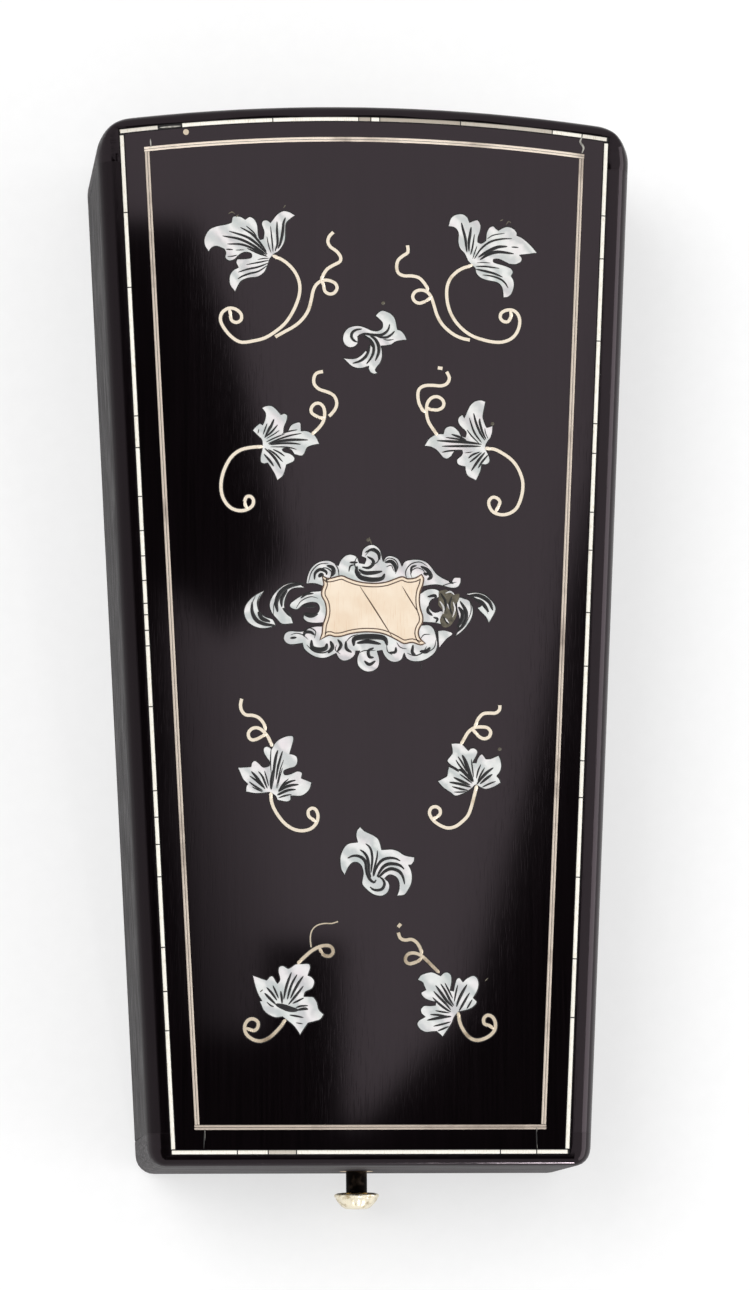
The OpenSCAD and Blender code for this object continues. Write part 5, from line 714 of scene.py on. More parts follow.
def strip_tree(name, finish_key):
    """Sweeps a flat strip along every path; the path's attribute width says how wide it is there."""
    tree, given = node_tree(name, {"Thickness": 0.0002})
    width = add(tree, "GeometryNodeInputNamedAttribute", {"Name": "width"}, data_type="FLOAT")
    line = add(tree, "GeometryNodeMeshToCurve", {"Mesh": given["Geometry"]})
    upright = add(tree, "GeometryNodeSetCurveNormal", {"Curve": line}, mode="Z_UP")
    section = add(tree, "GeometryNodeCurvePrimitiveQuadrilateral", {"Width": 1.0, "Height": given["Thickness"]})
    swept = add(tree, "GeometryNodeCurveToMesh", {"Curve": upright, "Profile Curve": section, "Scale": width,
                                                  "Fill Caps": True})
    return tree_end(tree, swept, finish_key)


def outline_tree(finish_key):
    """Follows the top outline of an inlaid piece, its sharp edges above a level, with a thin dark glue line."""
    tree, given = node_tree("glue_line", {"Width": 0.0001, "Level": 0.025})
    height = add(tree, "ShaderNodeSeparateXYZ", {0: add(tree, "GeometryNodeInputPosition")})
    top = add(tree, "FunctionNodeCompare", {0: height.outputs["Z"], 1: given["Level"]},
              data_type="FLOAT", operation="GREATER_THAN")
    angle = add(tree, "GeometryNodeInputMeshEdgeAngle").outputs["Unsigned Angle"]
    corner = add(tree, "FunctionNodeCompare", {0: angle, 1: 1.0}, data_type="FLOAT", operation="GREATER_THAN")
    both = add(tree, "FunctionNodeBooleanMath", {0: top, 1: corner}, operation="AND")
    line = add(tree, "GeometryNodeMeshToCurve", {"Mesh": given["Geometry"], "Selection": both})
    upright = add(tree, "GeometryNodeSetCurveNormal", {"Curve": line}, mode="Z_UP")
    section = add(tree, "GeometryNodeCurvePrimitiveQuadrilateral", {"Width": given["Width"], "Height": 0.00002})
    swept = add(tree, "GeometryNodeCurveToMesh", {"Curve": upright, "Profile Curve": section})
    return tree_end(tree, swept, finish_key)


def smooth_path(points, steps=6):
    """Points in between, on a smooth curve through the given ones."""
    ends = [points[0] * 2 - points[1]] + points + [points[-1] * 2 - points[-2]]
    made = []
    for a, b, c, d in zip(ends, ends[1:], ends[2:], ends[3:]):
        for i in range(steps):
            t = i / steps
            made.append(((b * 2) + (c - a) * t + (a * 2 - b * 5 + c * 4 - d) * t * t
                         + (b * 3 - a - c * 3 + d) * t ** 3) / 2)
    return made + [points[-1]]


# The case's plan, in millimetres, as the solids have it
CASE_LEN, NARROW_W, WIDE_W, ARC_R, TOP = 130.0, 53.5, 66.5, 223.0, 25.0
BONE_SIDE, BONE_END = 3.1, 1.7
BRASS_SIDE, BRASS_FRONT, BRASS_BACK = 6.1, 4.67, 4.24
TAPER = (WIDE_W - NARROW_W) / (2 * CASE_LEN)
SLANT = math.sqrt(1 + TAPER * TAPER)
# In metres: the lid's top, how far lines, chips and the patch lie proud of it, and how deep chips go
LID_TOP = TOP * MM
LINE_LIFT, CHIP_LIFT, PATCH_LIFT, CHIP_DEPTH = 0.00001, 0.00002, 0.00003, 0.0001


def strips(name, paths, level, thickness, finish_key, nodes=()):
    """Flat strips on the lid along paths of (point, width, tone), in metres; thickness is a share of the width."""
    mesh = bpy.data.meshes.new(name)
    edges, spots = [], [spot for path in paths for spot in path]
    first = 0
    for path in paths:
        edges += [(first + i, first + i + 1) for i in range(len(path) - 1)]
        first += len(path)
    mesh.from_pydata([(point.x, point.y, level) for point, _, _ in spots], edges, [])
    for column, key in ((1, "width"), (2, "tone")):
        values = [spot[column] for spot in spots]
        mesh.attributes.new(key, "FLOAT", "POINT").data.foreach_set("value", values)
    mesh = grown(name, mesh, strip_tree(name + "_strips", finish_key), Thickness=thickness)
    piece(name, mesh, "lid", nodes)


def strokes(name, lines, finish_key, bold=1.0, lift=0.0):
    """Engraved lines, each widest in its middle and drawn out to points, lying flush in the surface."""
    # Share of the width at a line's ends, how soon it grows, and its thickness as a share of the width
    thin, growth, depth = 0.22, 0.6, 0.05
    paths = []
    for line in lines:
        points = smooth_path([Vector((x * MM, y * MM, 0)) for x, y in zip(line[1::2], line[2::2])])
        last = len(points) - 1
        shares = [thin + (1 - thin) * math.sin(math.pi * i / last) ** growth for i in range(last + 1)]
        paths.append([(p, line[0] * bold * MM * share, 0) for p, share in zip(points, shares)])
    strips(name, paths, LID_TOP + LINE_LIFT + lift, depth, finish_key)


def slab(name, outline, lift, finish_key):
    """A thin flat chip, let into the lid, with an outline of x, y, in millimetres."""
    work = bmesh.new()
    ring = smooth_path([Vector((x * MM, y * MM, LID_TOP + lift)) for x, y in zip(outline[::2], outline[1::2])], 3)
    face = work.faces.new([work.verts.new(p) for p in ring])
    bmesh.ops.triangulate(work, faces=[face])
    for v in bmesh.ops.extrude_face_region(work, geom=work.faces[:])["geom"]:
        if isinstance(v, bmesh.types.BMVert):
            v.co.z -= CHIP_DEPTH
    bmesh.ops.recalc_face_normals(work, faces=work.faces[:])
    piece(name, smooth_mesh(name, work), "lid", finish_key=finish_key)


def half_width(y, inset):
    """Half the case's width at y, moved in from the side face."""
    return NARROW_W / 2 + TAPER * (y + CASE_LEN / 2) - inset * SLANT


def arc_height(x, inset):
    """The curved back's y at x, moved in from the back face."""
    return CASE_LEN / 2 - ARC_R + math.sqrt((ARC_R - inset) ** 2 - x * x)


def runs(side, front, back, butt):
    """Centre lines of a string's left, right, back and front run; the side runs stop short of the others by butt."""
    # A few rounds find where the side run meets the curved one
    y1 = CASE_LEN / 2 - back
    for _ in range(8):
        y1 = arc_height(half_width(y1, side), back)
    y0 = front - CASE_LEN / 2
    made = []
    for s in (-1, 1):
        made.append([Vector((s * half_width(y, side), y, 0)) for y in (y0 + butt, y1 - butt)])
    end = half_width(y1, side) + butt
    made.append([Vector((x, arc_height(x, back), 0)) for x in [-end + 2 * end * i / 48 for i in range(49)]])
    end = half_width(y0, side) + butt
    made.append([Vector((-end, y0, 0)), Vector((end, y0, 0))])
    return made


def cut(run, start, stop):
    """The part of a run between two distances along it."""
    made, done = [], 0.0
    for a, b in zip(run, run[1:]):
        size = (b - a).length
        lo, hi = max(start, done), min(stop, done + size)
        if lo < hi:
            first, last = a.lerp(b, (lo - done) / size), a.lerp(b, (hi - done) / size)
            made += [first, last] if not made else [last]
        done += size
    return made


def reach(run, axis, where):
    """The distance along a run at which its x or y comes to a value."""
    done = 0.0
    for a, b in zip(run, run[1:]):
        if b[axis] >= where:
            return done + (b - a).length * (where - a[axis]) / (b[axis] - a[axis])
        done += (b - a).length
    return done


def aside(run, shift):
    """A run moved sideways."""
    made = []
    for i, p in enumerate(run):
        way = (run[min(i + 1, len(run) - 1)] - run[max(i - 1, 0)]).normalized()
        made.append(p + Vector((-way.y, way.x, 0)) * shift)
    return made


# The picture's camera: turns about X, Y and Z in degrees, place over the middle of the lid in metres, focal
# length and picture height in pixels, and the sensor in millimetres
CAMERA_TURN, CAMERA_PLACE = (-7.62, 5.77, 0.35), (0.000853, -0.001947, 0.65)
FOCUS, PICTURE_HEIGHT, SENSOR = 5351, 1290, 36
# Lamps: name, place, width and height in metres, and power in watts
LAMPS = (
    ("key", (-0.9, 0.5, 1.5), (1.2, 1.2), 15),
    ("fill", (1.4, -0.2, 0.55), (1.6, 1.0), 9),
    ("front", (0.25, -1.55, 0.3), (0.07, 0.4), 5),
)
# What the surroundings give to dull faces, where white is 1
AMBIENT = 0.72
# Dark places of the room that the polish mirrors to the camera, in millimetres on the lid. Each is closed by
# straight edges: normal x, normal y, distance and softness, and a window that ends it beyond the lid.
LID_WINDOW = ((1, 0, 40, 4), (-1, 0, 40, 4), (0, 1, 76, 6), (0, -1, 76, 6))
WIDE_WINDOW = ((1, 0, 60, 9), (-1, 0, 330, 90), (0, 1, 90, 9), (0, -1, 330, 90))
DARK_PLACES = (
    # Left of the field, right of it in three steps, its front in two, and a shade along its left
    ((0.938, 0.346, -2.3, 1.2), (0.969, 0.249, -6.5, 1.2), (0, 1, 50.3, 1.6), (-0.676, -0.737, 12.9, 1.5),
     (0.753, -0.658, -12.1, 1.5), *LID_WINDOW),
    ((-0.977, 0.212, -23, 1.6), *LID_WINDOW),
    ((-0.953, 0.303, -24.5, 1.5), *LID_WINDOW),
    ((-0.722, 0.692, -40.3, 1.5), *LID_WINDOW),
    ((-1, 0, 12.9, 0.8), (1, 0, -3.1, 0.7), (0, 1, -38, 1.4), *LID_WINDOW),
    ((1, 0, -3.1, 0.7), (0, 1, -49, 2), *LID_WINDOW),
    ((0.971, 0.238, -24.7, 13), *LID_WINDOW),
    # The right, front and left border
    ((-1, 0.05, -23.9, 1), (0, 1, 4, 10), *LID_WINDOW),
    ((0, 1, -60.2, 1), *WIDE_WINDOW),
    ((1, 0.05, -23.9, 1), (0, 1, 47, 5), *WIDE_WINDOW),
)


class ETUI_OT_stage(bpy.types.Operator):
    """Camera at the picture's angle, soft studio light and a plain pale floor"""
    bl_idname = "etui.stage"
    bl_label = "Stage"

    def execute(self, context):
        scene = context.scene
        scene.view_settings.view_transform = "Standard"
        turn = Matrix.Identity(3)
        for degrees, axis in zip(CAMERA_TURN, "XYZ"):
            turn = turn @ Matrix.Rotation(math.radians(degrees), 3, axis)
        turn.transpose()
        eye = Vector((0, 0, LID_TOP)) + turn @ Vector(CAMERA_PLACE)
        lens = bpy.data.cameras.new("camera")
        lens.sensor_width = SENSOR
        lens.lens = FOCUS * SENSOR / PICTURE_HEIGHT
        lens.clip_start, lens.clip_end = 0.01, 50
        scene.camera = placed("camera", lens)
        scene.camera.matrix_world = Matrix.Translation(eye) @ turn.to_4x4()
        self.light_world(scene, eye)
        for name, place, size, power in LAMPS:
            lamp = bpy.data.lights.new(name, "AREA")
            lamp.shape, lamp.energy = "ELLIPSE", power
            lamp.size, lamp.size_y = size
            lit = placed(name, lamp)
            lit.visible_glossy = name != "key"
            lit.matrix_world = Matrix.Translation(place) @ Vector(place).to_track_quat("Z", "Y").to_matrix().to_4x4()
        self.lay_floor()
        return {"FINISHED"}

    def light_world(self, scene, eye):
        """White surroundings; polished faces see them with some dark corners of the room."""
        world = bpy.data.worlds.new("studio")
        world.use_nodes = True
        tree = world.node_tree
        tree.nodes.clear()
        scene.world = world
        way = add(tree, "ShaderNodeSeparateXYZ", {0: add(tree, "ShaderNodeTexCoord").outputs["Generated"]})
        rise = add(tree, "ShaderNodeMath", {0: way.outputs["Z"], 1: 0.05}, operation="MAXIMUM")
        # The direction, as the place on the lid whose polish mirrors it to the camera, in millimetres
        far = (eye.z - LID_TOP) / MM
        mirrored = []
        for axis, centre in (("X", eye.x), ("Y", eye.y)):
            slope = add(tree, "ShaderNodeMath", {0: way.outputs[axis], 1: rise}, operation="DIVIDE")
            mirrored.append(add(tree, "ShaderNodeMath", {0: slope, 1: far, 2: centre / MM}, operation="MULTIPLY_ADD"))
        bright = 1.0
        for edges in DARK_PLACES:
            inside = 1.0
            for nx, ny, distance, soft in edges:
                past = add(tree, "ShaderNodeMath", {0: mirrored[0], 1: nx}, operation="MULTIPLY")
                past = add(tree, "ShaderNodeMath", {0: mirrored[1], 1: ny, 2: past}, operation="MULTIPLY_ADD")
                mask = add(tree, "ShaderNodeMapRange", {"Value": past, "From Min": distance - soft,
                                                        "From Max": distance + soft, "To Min": 1, "To Max": 0},
                           interpolation_type="SMOOTHSTEP")
                inside = add(tree, "ShaderNodeMath", {0: inside, 1: mask}, operation="MULTIPLY")
            left = add(tree, "ShaderNodeMath", {0: inside, 1: -1.0, 2: 1}, operation="MULTIPLY_ADD")
            bright = add(tree, "ShaderNodeMath", {0: bright, 1: left}, operation="MULTIPLY")
        path = add(tree, "ShaderNodeLightPath").outputs
        shiny = add(tree, "ShaderNodeMath", {0: path["Is Glossy Ray"], 1: path["Is Transmission Ray"]},
                    operation="MAXIMUM")
        level = add(tree, "ShaderNodeMix", {"Factor": shiny, 2: AMBIENT, 3: bright}, data_type="FLOAT")
        level = add(tree, "ShaderNodeMix", {"Factor": path["Is Camera Ray"], 2: level, 3: 1.0}, data_type="FLOAT")
        glow = add(tree, "ShaderNodeBackground", {"Color": 1, "Strength": level})
        add(tree, "ShaderNodeOutputWorld", {"Surface": glow})

    def lay_floor(self):
        """A wide white table that takes the case's soft shadow."""
        material = new_finish("matt_white_board", white_board)
        tree = material.node_tree
        # Seen or mirrored, the board is half as white as the surroundings, which keeps the shadow soft
        path = add(tree, "ShaderNodeLightPath").outputs
        seen = path["Is Camera Ray"]
        for ray in ("Is Glossy Ray", "Is Transmission Ray"):
            seen = add(tree, "ShaderNodeMath", {0: seen, 1: path[ray]}, operation="MAXIMUM")
        seen = add(tree, "ShaderNodeMath", {0: seen, 1: 0.5}, operation="MULTIPLY")
        white = add(tree, "ShaderNodeEmission", {"Color": 1, "Strength": 1})
        both = add(tree, "ShaderNodeMixShader", {0: seen, 1: tree.nodes["Principled BSDF"], 2: white})
        tree.links.new(both.outputs[0], tree.nodes["Material Output"].inputs["Surface"])
        mesh = bpy.data.meshes.new("floor")
        mesh.from_pydata([(-6, -6, 0), (6, -6, 0), (6, 6, 0), (-6, 6, 0)], [], [(0, 1, 2, 3)])
        mesh.materials.append(material)
        floor = placed("floor", mesh)


# Radius of the back corners' rounding, in millimetres: as dressed, and as the solids have it; its facets
CORNER, SOLID_CORNER, CORNER_FACETS = 4.5, 2.3, 16


def corner_middle(radius):
    """The middle of a back corner's rounding, which touches the side and the curved back."""
    # Rounds from a near guess, each closer than the last
    y = 58.0
    for _ in range(20):
        x = half_width(y, radius)
        y = arc_height(x, radius)
    return Vector((x, y))


def fuller_corners(work):
    """Draws the two back corners in to a rounder curve; what is less than 4 mm from the curve's middle stays."""
    keep = 4.0
    hub = Vector((0, CASE_LEN / 2 - ARC_R))
    middle, old = corner_middle(CORNER), corner_middle(SOLID_CORNER)
    side, back = Vector((1, -TAPER)).normalized(), (middle - hub).normalized()
    low, high = math.atan2(side.y, side.x), math.atan2(back.y, back.x)
    touch = [old + SOLID_CORNER * side - middle, old + SOLID_CORNER * (old - hub).normalized() - middle]
    first, last = (math.atan2(t.y, t.x) for t in touch)
    bmesh.ops.triangulate(work, faces=work.faces[:])
    for s in (-1, 1):
        for k in range(CORNER_FACETS + 1):
            a = low + (high - low) * k / CORNER_FACETS
            near = [f for f in work.faces if s * f.calc_center_median().x > middle.x * MM * 0.6]
            parts = [part for f in near for part in (*f.edges, *f.verts)]
            geom = near + list(dict.fromkeys(parts))
            bmesh.ops.bisect_plane(work, geom=geom, dist=1e-7, plane_co=(s * middle.x * MM, middle.y * MM, 0),
                                   plane_no=(-s * math.sin(a), math.cos(a), 0))
    for v in work.verts:
        off = Vector((abs(v.co.x) / MM, v.co.y / MM)) - middle
        angle = math.atan2(off.y, off.x)
        if off.length < keep or not low < angle < high:
            continue
        # The solid's edge in this direction: side, curved back or small rounding
        way = off.normalized()
        along = way.dot(middle - hub)
        to_back = -along + math.sqrt(along ** 2 - (middle - hub).length_squared + ARC_R ** 2)
        edge = min(CORNER / way.dot(side), to_back)
        if first < angle < last:
            along = way.dot(old - middle)
            edge = along + math.sqrt(max(0.0, along ** 2 - (old - middle).length_squared + SOLID_CORNER ** 2))
        spot = middle + way * (keep + (off.length - keep) * (CORNER - keep) / max(edge - keep, CORNER - keep))
        v.co.x, v.co.y = math.copysign(spot.x * MM, v.co.x), spot.y * MM


class ETUI_OT_case(bpy.types.Operator):
    """Ebony rails with softened edges, the veneers and the two boards"""
    bl_idname = "etui.case"
    bl_label = "Case"

    def execute(self, context):
        edge = context.scene.etui_sizes.edge
        for part in ("base", "lid"):
            for side in ("left", "right"):
                softened("%s_%s_rail" % (part, side), "rail_" + side, edge)
            softened(part + "_front_rail", "rail_crosswise", edge)
            softened(part + "_back_rail", "rail_crosswise", edge, shape=fuller_corners)
        dress("ebony", "field_veneer", "border_veneer")
        dress("walnut", "base_bottom", "lid_panel")
        return {"FINISHED"}


# The strings' thickness, and how far the glue in their grooves lies below them, in metres
STRING_DEPTH, GLUE_DROP = 0.0004, 0.00004
# Width of the two grooves, and where the runs of the brass string end, in millimetres
BONE_GROOVE, BRASS_GROOVE, BRASS_BUTT = 0.73, 0.67, 0.33
# How tarnished the brass string's left, right, back and front run are
BRASS_TONES = (0.45, 0.42, 0, 0.6)


class ETUI_OT_stringing(bpy.types.Operator):
    """Outer string of short bone pieces with dark joints, and inner brass string split along its middle"""
    bl_idname = "etui.stringing"
    bl_label = "Stringing"

    def execute(self, context):
        sizes = context.scene.etui_sizes
        chance = random.Random(12)
        bone, bed = [], []
        butt = sizes.bone_width / MM / 2 + 0.05
        for number, (run, ends) in enumerate(zip(runs(BONE_SIDE, BONE_END, BONE_END, butt), BONE_ENDS)):
            total = sum((b - a).length for a, b in zip(run, run[1:]))
            bed.append([(p * MM, BONE_GROOVE * MM, 0) for p in run])
            at = 0.1
            for where, tone in ends:
                stop = min(reach(run, 1 if number < 2 else 0, where), total - 0.1)
                if tone < 1:
                    bit = cut(run, at, stop - sizes.bone_joint / MM)
                    tone += chance.uniform(-0.03, 0.05)
                    bone.append([(p * MM, sizes.bone_width, tone) for p in bit])
                at = stop
        self.lay("bone_string", "pieces", bone, bed, "bone", "bone_stringing")
        brass, bed = [], []
        wire = (sizes.brass_width - sizes.brass_split) / 2
        for run, tone in zip(runs(BRASS_SIDE, BRASS_FRONT, BRASS_BACK, BRASS_BUTT), BRASS_TONES):
            bed.append([(p * MM, BRASS_GROOVE * MM, 0) for p in run])
            for s in (-1, 1):
                line = aside(run, s * (sizes.brass_split + wire) / 2 / MM)
                brass.append([(p * MM, wire, tone) for p in line])
        self.lay("brass_string", "wires", brass, bed, "brass", "brass_stringing")
        return {"FINISHED"}

    def lay(self, name, kind, string, bed, slot, node):
        """Lays a string flush with the lid, and the dark glue of its groove a little lower."""
        level = LID_TOP - STRING_DEPTH / 2
        key = "bone_string" if slot == "bone" else "string_brass"
        strips(name + "_" + kind, string, level, STRING_DEPTH / string[0][0][1], key, [node])
        strips(name + "_bed", bed, level - GLUE_DROP, STRING_DEPTH / bed[0][0][1], "glue")


PEARL = ([n for n in NODE if n.startswith(("leaf_top", "leaf_upper", "leaf_lower", "leaf_bottom", "sprig_"))]
         + ["cartouche_crest", "cartouche_base", "cartouche_left", "cartouche_right"])
WIRES = [n for n in NODE if n.startswith("tendrils_")]


class ETUI_OT_inlay(bpy.types.Operator):
    """Pearl leaves and brass tendrils, each with its dark glue line, and the gilt plate"""
    bl_idname = "etui.inlay"
    bl_label = "Inlay"

    def execute(self, context):
        sizes = context.scene.etui_sizes
        dress("pearl", *PEARL)
        dress("brass", *[n for n in WIRES if "bottom" not in n])
        dress("aged_brass", *[n for n in WIRES if "bottom" in n])
        dress("gilt", "cartouche_plate")
        tree = outline_tree("glue")
        for name, nodes, width in (("inlay_glue_lines", PEARL, sizes.glue_line),
                                   ("tendril_glue_lines", WIRES, sizes.wire_glue_line)):
            work = bmesh.new()
            for node in nodes:
                one = plain_mesh("one", merged(node))
                work.from_mesh(one)
                bpy.data.meshes.remove(one)
            outlines = plain_mesh(name, work)
            piece(name, grown(name, outlines, tree, Width=width, Level=LID_TOP - 0.0001), "lid")
        # The bottom tendrils, in front of y -35, are darker than the others
        for name, low, high, key in (("tendril_joins", -35, 65, "brass"),
                                     ("bottom_tendril_joins", -65, -35, "aged_brass")):
            lines = [(JOIN_WIDTH, *line) for line in TENDRIL_JOINS if low < line[1] < high]
            strokes(name, lines, key)
        slab("shellac_patch", SHELLAC_PATCH, PATCH_LIFT, "shellac")
        slab("loose_pearl_chip", PEARL_CHIP, CHIP_LIFT, "pearl")
        x, y, radius = NAIL
        turns = [k * math.pi / 5 for k in range(10)]
        rim = [c for a in turns for c in (x + radius * math.cos(a), y + radius * math.sin(a))]
        slab("filled_nail", rim, CHIP_LIFT, "aged_brass")
        return {"FINISHED"}


class ETUI_OT_engraving(bpy.types.Operator):
    """Black engraved lines on the pearl, brown ones on the plate, scratches and cracks"""
    bl_idname = "etui.engraving"
    bl_label = "Engraving"

    def execute(self, context):
        for name, lines in ENGRAVED.items():
            strokes(name + "_engraving", lines, "mastic", 2 if "cartouche" in name else 1.2)
        strokes("plate_scratches", PLATE_SCRATCHES, "plate_line")
        strokes("veneer_cracks", VENEER_CRACKS, "glue")
        strokes("filled_cracks", PALE_CRACKS, "chalk")
        strokes("patch_streaks", PATCH_STREAKS, "glue", lift=PATCH_LIFT)
        strokes("leaf_scraps", LEAF_SCRAPS, "shellac")
        strokes("patch_scraps", PATCH_SCRAPS, "pearl", lift=PATCH_LIFT)
        self.plate_border()
        return {"FINISHED"}

    def plate_border(self):
        """The plate's engraved outline, and a second line inside it."""
        work = merged("cartouche_plate", whole=True)
        face = max((f for f in work.faces if f.normal.z > 0.9), key=lambda f: f.calc_area())
        paths = []
        for inset, width in ((0, 0.17), (0.42, 0.13)):
            if inset:
                bmesh.ops.inset_region(work, faces=[face], thickness=inset * MM, use_even_offset=True)
            ring = [v.co.copy() for v in face.verts]
            paths.append([(p, width * MM, 0) for p in ring + ring[:1]])
        work.free()
        strips("plate_border", paths, LID_TOP + LINE_LIFT, 0.1, "plate_line")


def skin(work, rings, steps):
    """Faces from ring to ring; a ring of one point is a pole."""
    for low, high in zip(rings, rings[1:]):
        for i in range(steps if len(low) + len(high) > 2 else 0):
            j = (i + 1) % steps
            work.faces.new([low[i % len(low)]] + ([low[j]] if len(low) > 1 else [])
                           + ([high[j]] if len(high) > 1 else []) + [high[i % len(high)]])


def turned(name, profile, place, finish_key, node, steps=64, angle=30, wave=None):
    """A turned piece: a profile of (distance along y, radius), in millimetres, swung round an axis along y."""
    work = bmesh.new()
    rings = []
    turn = Vector((0, 1, 0)).to_track_quat("Z", "Y").to_matrix()
    for at, radius in profile:
        ring = []
        for i in range(steps if radius > 1e-6 else 1):
            a = 2 * math.pi * i / steps
            r = radius * (1 if wave is None else wave(at, a))
            ring.append(work.verts.new((Vector(place) + turn @ Vector((r * math.cos(a), r * math.sin(a), at))) * MM))
        rings.append(ring)
    skin(work, rings, steps)
    bmesh.ops.remove_doubles(work, verts=work.verts[:], dist=1e-7)
    bmesh.ops.recalc_face_normals(work, faces=work.faces[:])
    piece(name, smooth_mesh(name, work, angle), NODE[node]["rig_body"], [node], finish_key)


def rounded(profile, steps=5):
    """A turner's smooth line through a profile; a point written twice stays a sharp corner."""
    made, part = [], []
    for p in [*profile, None]:
        if p is None or (part and part[-1] == Vector(p)):
            made += [(v.x, max(0.0, v.y)) for v in (smooth_path(part, steps) if len(part) > 1 else part)]
            part = []
        if p is not None:
            part.append(Vector(p))
    return made


def screw_tree():
    """Slotted screws on points; the attribute aim turns each one, its head faces down the local Z axis."""
    tree, given = node_tree("slotted_screws", {"Head": 0.00095, "Neck": 0.0005, "Seat": 0.0008, "Length": 0.003,
                                               "Slot": 0.00022})
    half = add(tree, "ShaderNodeMath", {0: given["Seat"], 1: 0.5}, operation="MULTIPLY")
    head = add(tree, "GeometryNodeMeshCone", {"Vertices": 28, "Radius Top": given["Neck"],
                                              "Radius Bottom": given["Head"], "Depth": given["Seat"]})
    cutter = add(tree, "GeometryNodeMeshCube", {
        "Size": add(tree, "ShaderNodeCombineXYZ", {"X": 0.01, "Y": given["Slot"], "Z": given["Seat"]})})
    drop = add(tree, "ShaderNodeMath", {0: given["Seat"], 1: -0.12}, operation="MULTIPLY")
    low = add(tree, "GeometryNodeTransform", {
        "Geometry": cutter, "Translation": add(tree, "ShaderNodeCombineXYZ", {"Z": drop})})
    slotted = add(tree, "GeometryNodeMeshBoolean", {"Mesh 1": head, "Mesh 2": low}, operation="DIFFERENCE")
    shank = add(tree, "GeometryNodeMeshCylinder", {"Vertices": 20, "Radius": 0.00048, "Depth": given["Length"]})
    sink = add(tree, "ShaderNodeMath", {0: given["Length"], 1: 0.5, 2: half}, operation="MULTIPLY_ADD")
    deep = add(tree, "GeometryNodeTransform", {
        "Geometry": shank, "Translation": add(tree, "ShaderNodeCombineXYZ", {"Z": sink})})
    whole = add(tree, "GeometryNodeJoinGeometry")
    for part in (slotted, deep):
        tree.links.new(part.outputs[0], whole.inputs[0])
    aim = add(tree, "GeometryNodeInputNamedAttribute", {"Name": "aim"}, data_type="FLOAT_VECTOR")
    spread = add(tree, "GeometryNodeInstanceOnPoints", {
        "Points": given["Geometry"], "Instance": whole,
        "Rotation": add(tree, "FunctionNodeEulerToRotation", {0: aim})})
    return tree_end(tree, spread, "steel")


def screws(name, tree, points, aims, body, node, **inputs):
    """Slotted screws at points in millimetres, in place of a CAD node."""
    mesh = bpy.data.meshes.new(name)
    mesh.from_pydata([tuple(c * MM for c in p) for p in points], [], [])
    mesh.attributes.new("aim", "FLOAT_VECTOR", "POINT").data.foreach_set("vector", [c for a in aims for c in a])
    piece(name, grown(name, mesh, tree, **inputs), body, [node])


class ETUI_OT_hardware(bpy.types.Operator):
    """Hinge, catch, keeper and their slotted screws"""
    bl_idname = "etui.hardware"
    bl_label = "Hinge and catch"

    def execute(self, context):
        for node in ("hinge_base_leaf", "hinge_lid_leaf"):
            softened(node, "hinge_brass", 0.08 * MM)
        softened("button_bush", "hinge_brass", 0.1 * MM)
        softened("hinge_pin", "steel", 0.08 * MM)
        dress("steel", "keeper_plate")
        work = merged("leaf_spring", whole=True)
        upright = [e for e in work.edges if e.calc_length() > 0.004]
        bmesh.ops.subdivide_edges(work, edges=upright, cuts=12, use_grid_fill=True)
        bmesh.ops.triangulate(work, faces=work.faces[:])
        mesh = smooth_mesh("catch_spring", work)
        mesh.materials.append(finish("steel"))
        spring = placed("catch_spring", mesh)
        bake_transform(spring)
        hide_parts("leaf_spring")
        self.drive_screws(screw_tree())
        return {"FINISHED"}

    def drive_screws(self, tree):
        """The screws of the hinge, the keeper and the spring, each turned by chance."""
        chance = random.Random(3)
        spin = [chance.uniform(0, 3) for _ in range(6)]
        # The hinge's screws are halfway between the pin, at y 62.7, and the inner edge of the leaves
        row = 62.7 - (4.6 + 1.6) / 2
        screws("hinge_screws_lid", tree, [(x, row, 14.65) for x in (-12, 0, 12)],
               [(0, 0, a) for a in spin[:3]], "lid", "hinge_lid_screws", Length=0.0037)
        screws("hinge_screws_base", tree, [(x, row, 14.5) for x in (-12, 0, 12)],
               [(math.pi, 0, a) for a in spin[3:]], "base", "hinge_base_screws", Length=0.0037)
        screws("keeper_pan_screws", tree, [(x, -59.7, 18.25) for x in (-1.9, 1.9)],
               [(math.pi / 2, a, 0) for a in spin[1:3]], "lid", "keeper_screws", Neck=0.00095, Seat=0.0005,
               Length=0.0031)
        screws("spring_pan_screws", tree, [(x, -53.05, 3.7) for x in (-1.75, 1.75)],
               [(math.pi, 0, a) for a in spin[2:4]], "base", "spring_screws", Neck=0.00095, Seat=0.0006,
               Length=0.0022)


class ETUI_OT_button(bpy.types.Operator):
    """Push button: dark stem and a chased, parcel-gilt head"""
    bl_idname = "etui.button"
    bl_label = "Push button"

    def execute(self, context):
        softened("button_stem", "dark_brass", 0.12 * MM)

        def petals(at, a):
            """How far the chased petals swell the head, at a depth and a turn."""
            return 1 + 0.035 * abs(math.sin(7 * a)) * (1 if at < 1.35 else 0.3) - 0.035

        # The head is 2 mm thick and stands 2.6 mm off the case's front
        front = -CASE_LEN / 2 - 2.6 - 2
        profile = rounded([(0.12, 0), (0.04, 0.4), (0.16, 0.62), (0.16, 0.62), (0.04, 0.85), (0, 1.2), (0.1, 1.5),
                           (0.1, 1.5), (0.3, 1.82), (0.8, 2.3), (1.35, 2.66), (1.35, 2.66), (1.46, 2.8), (1.6, 2.85),
                           (1.76, 2.83), (1.76, 2.83), (1.9, 2.6), (1.98, 2.3), (1.98, 2.3), (1.99, 1.42)], 4)
        turned("button_head", profile, (0, front, 6.8), "gilt_silver", "button_cap", 112, 40, petals)
        return {"FINISHED"}


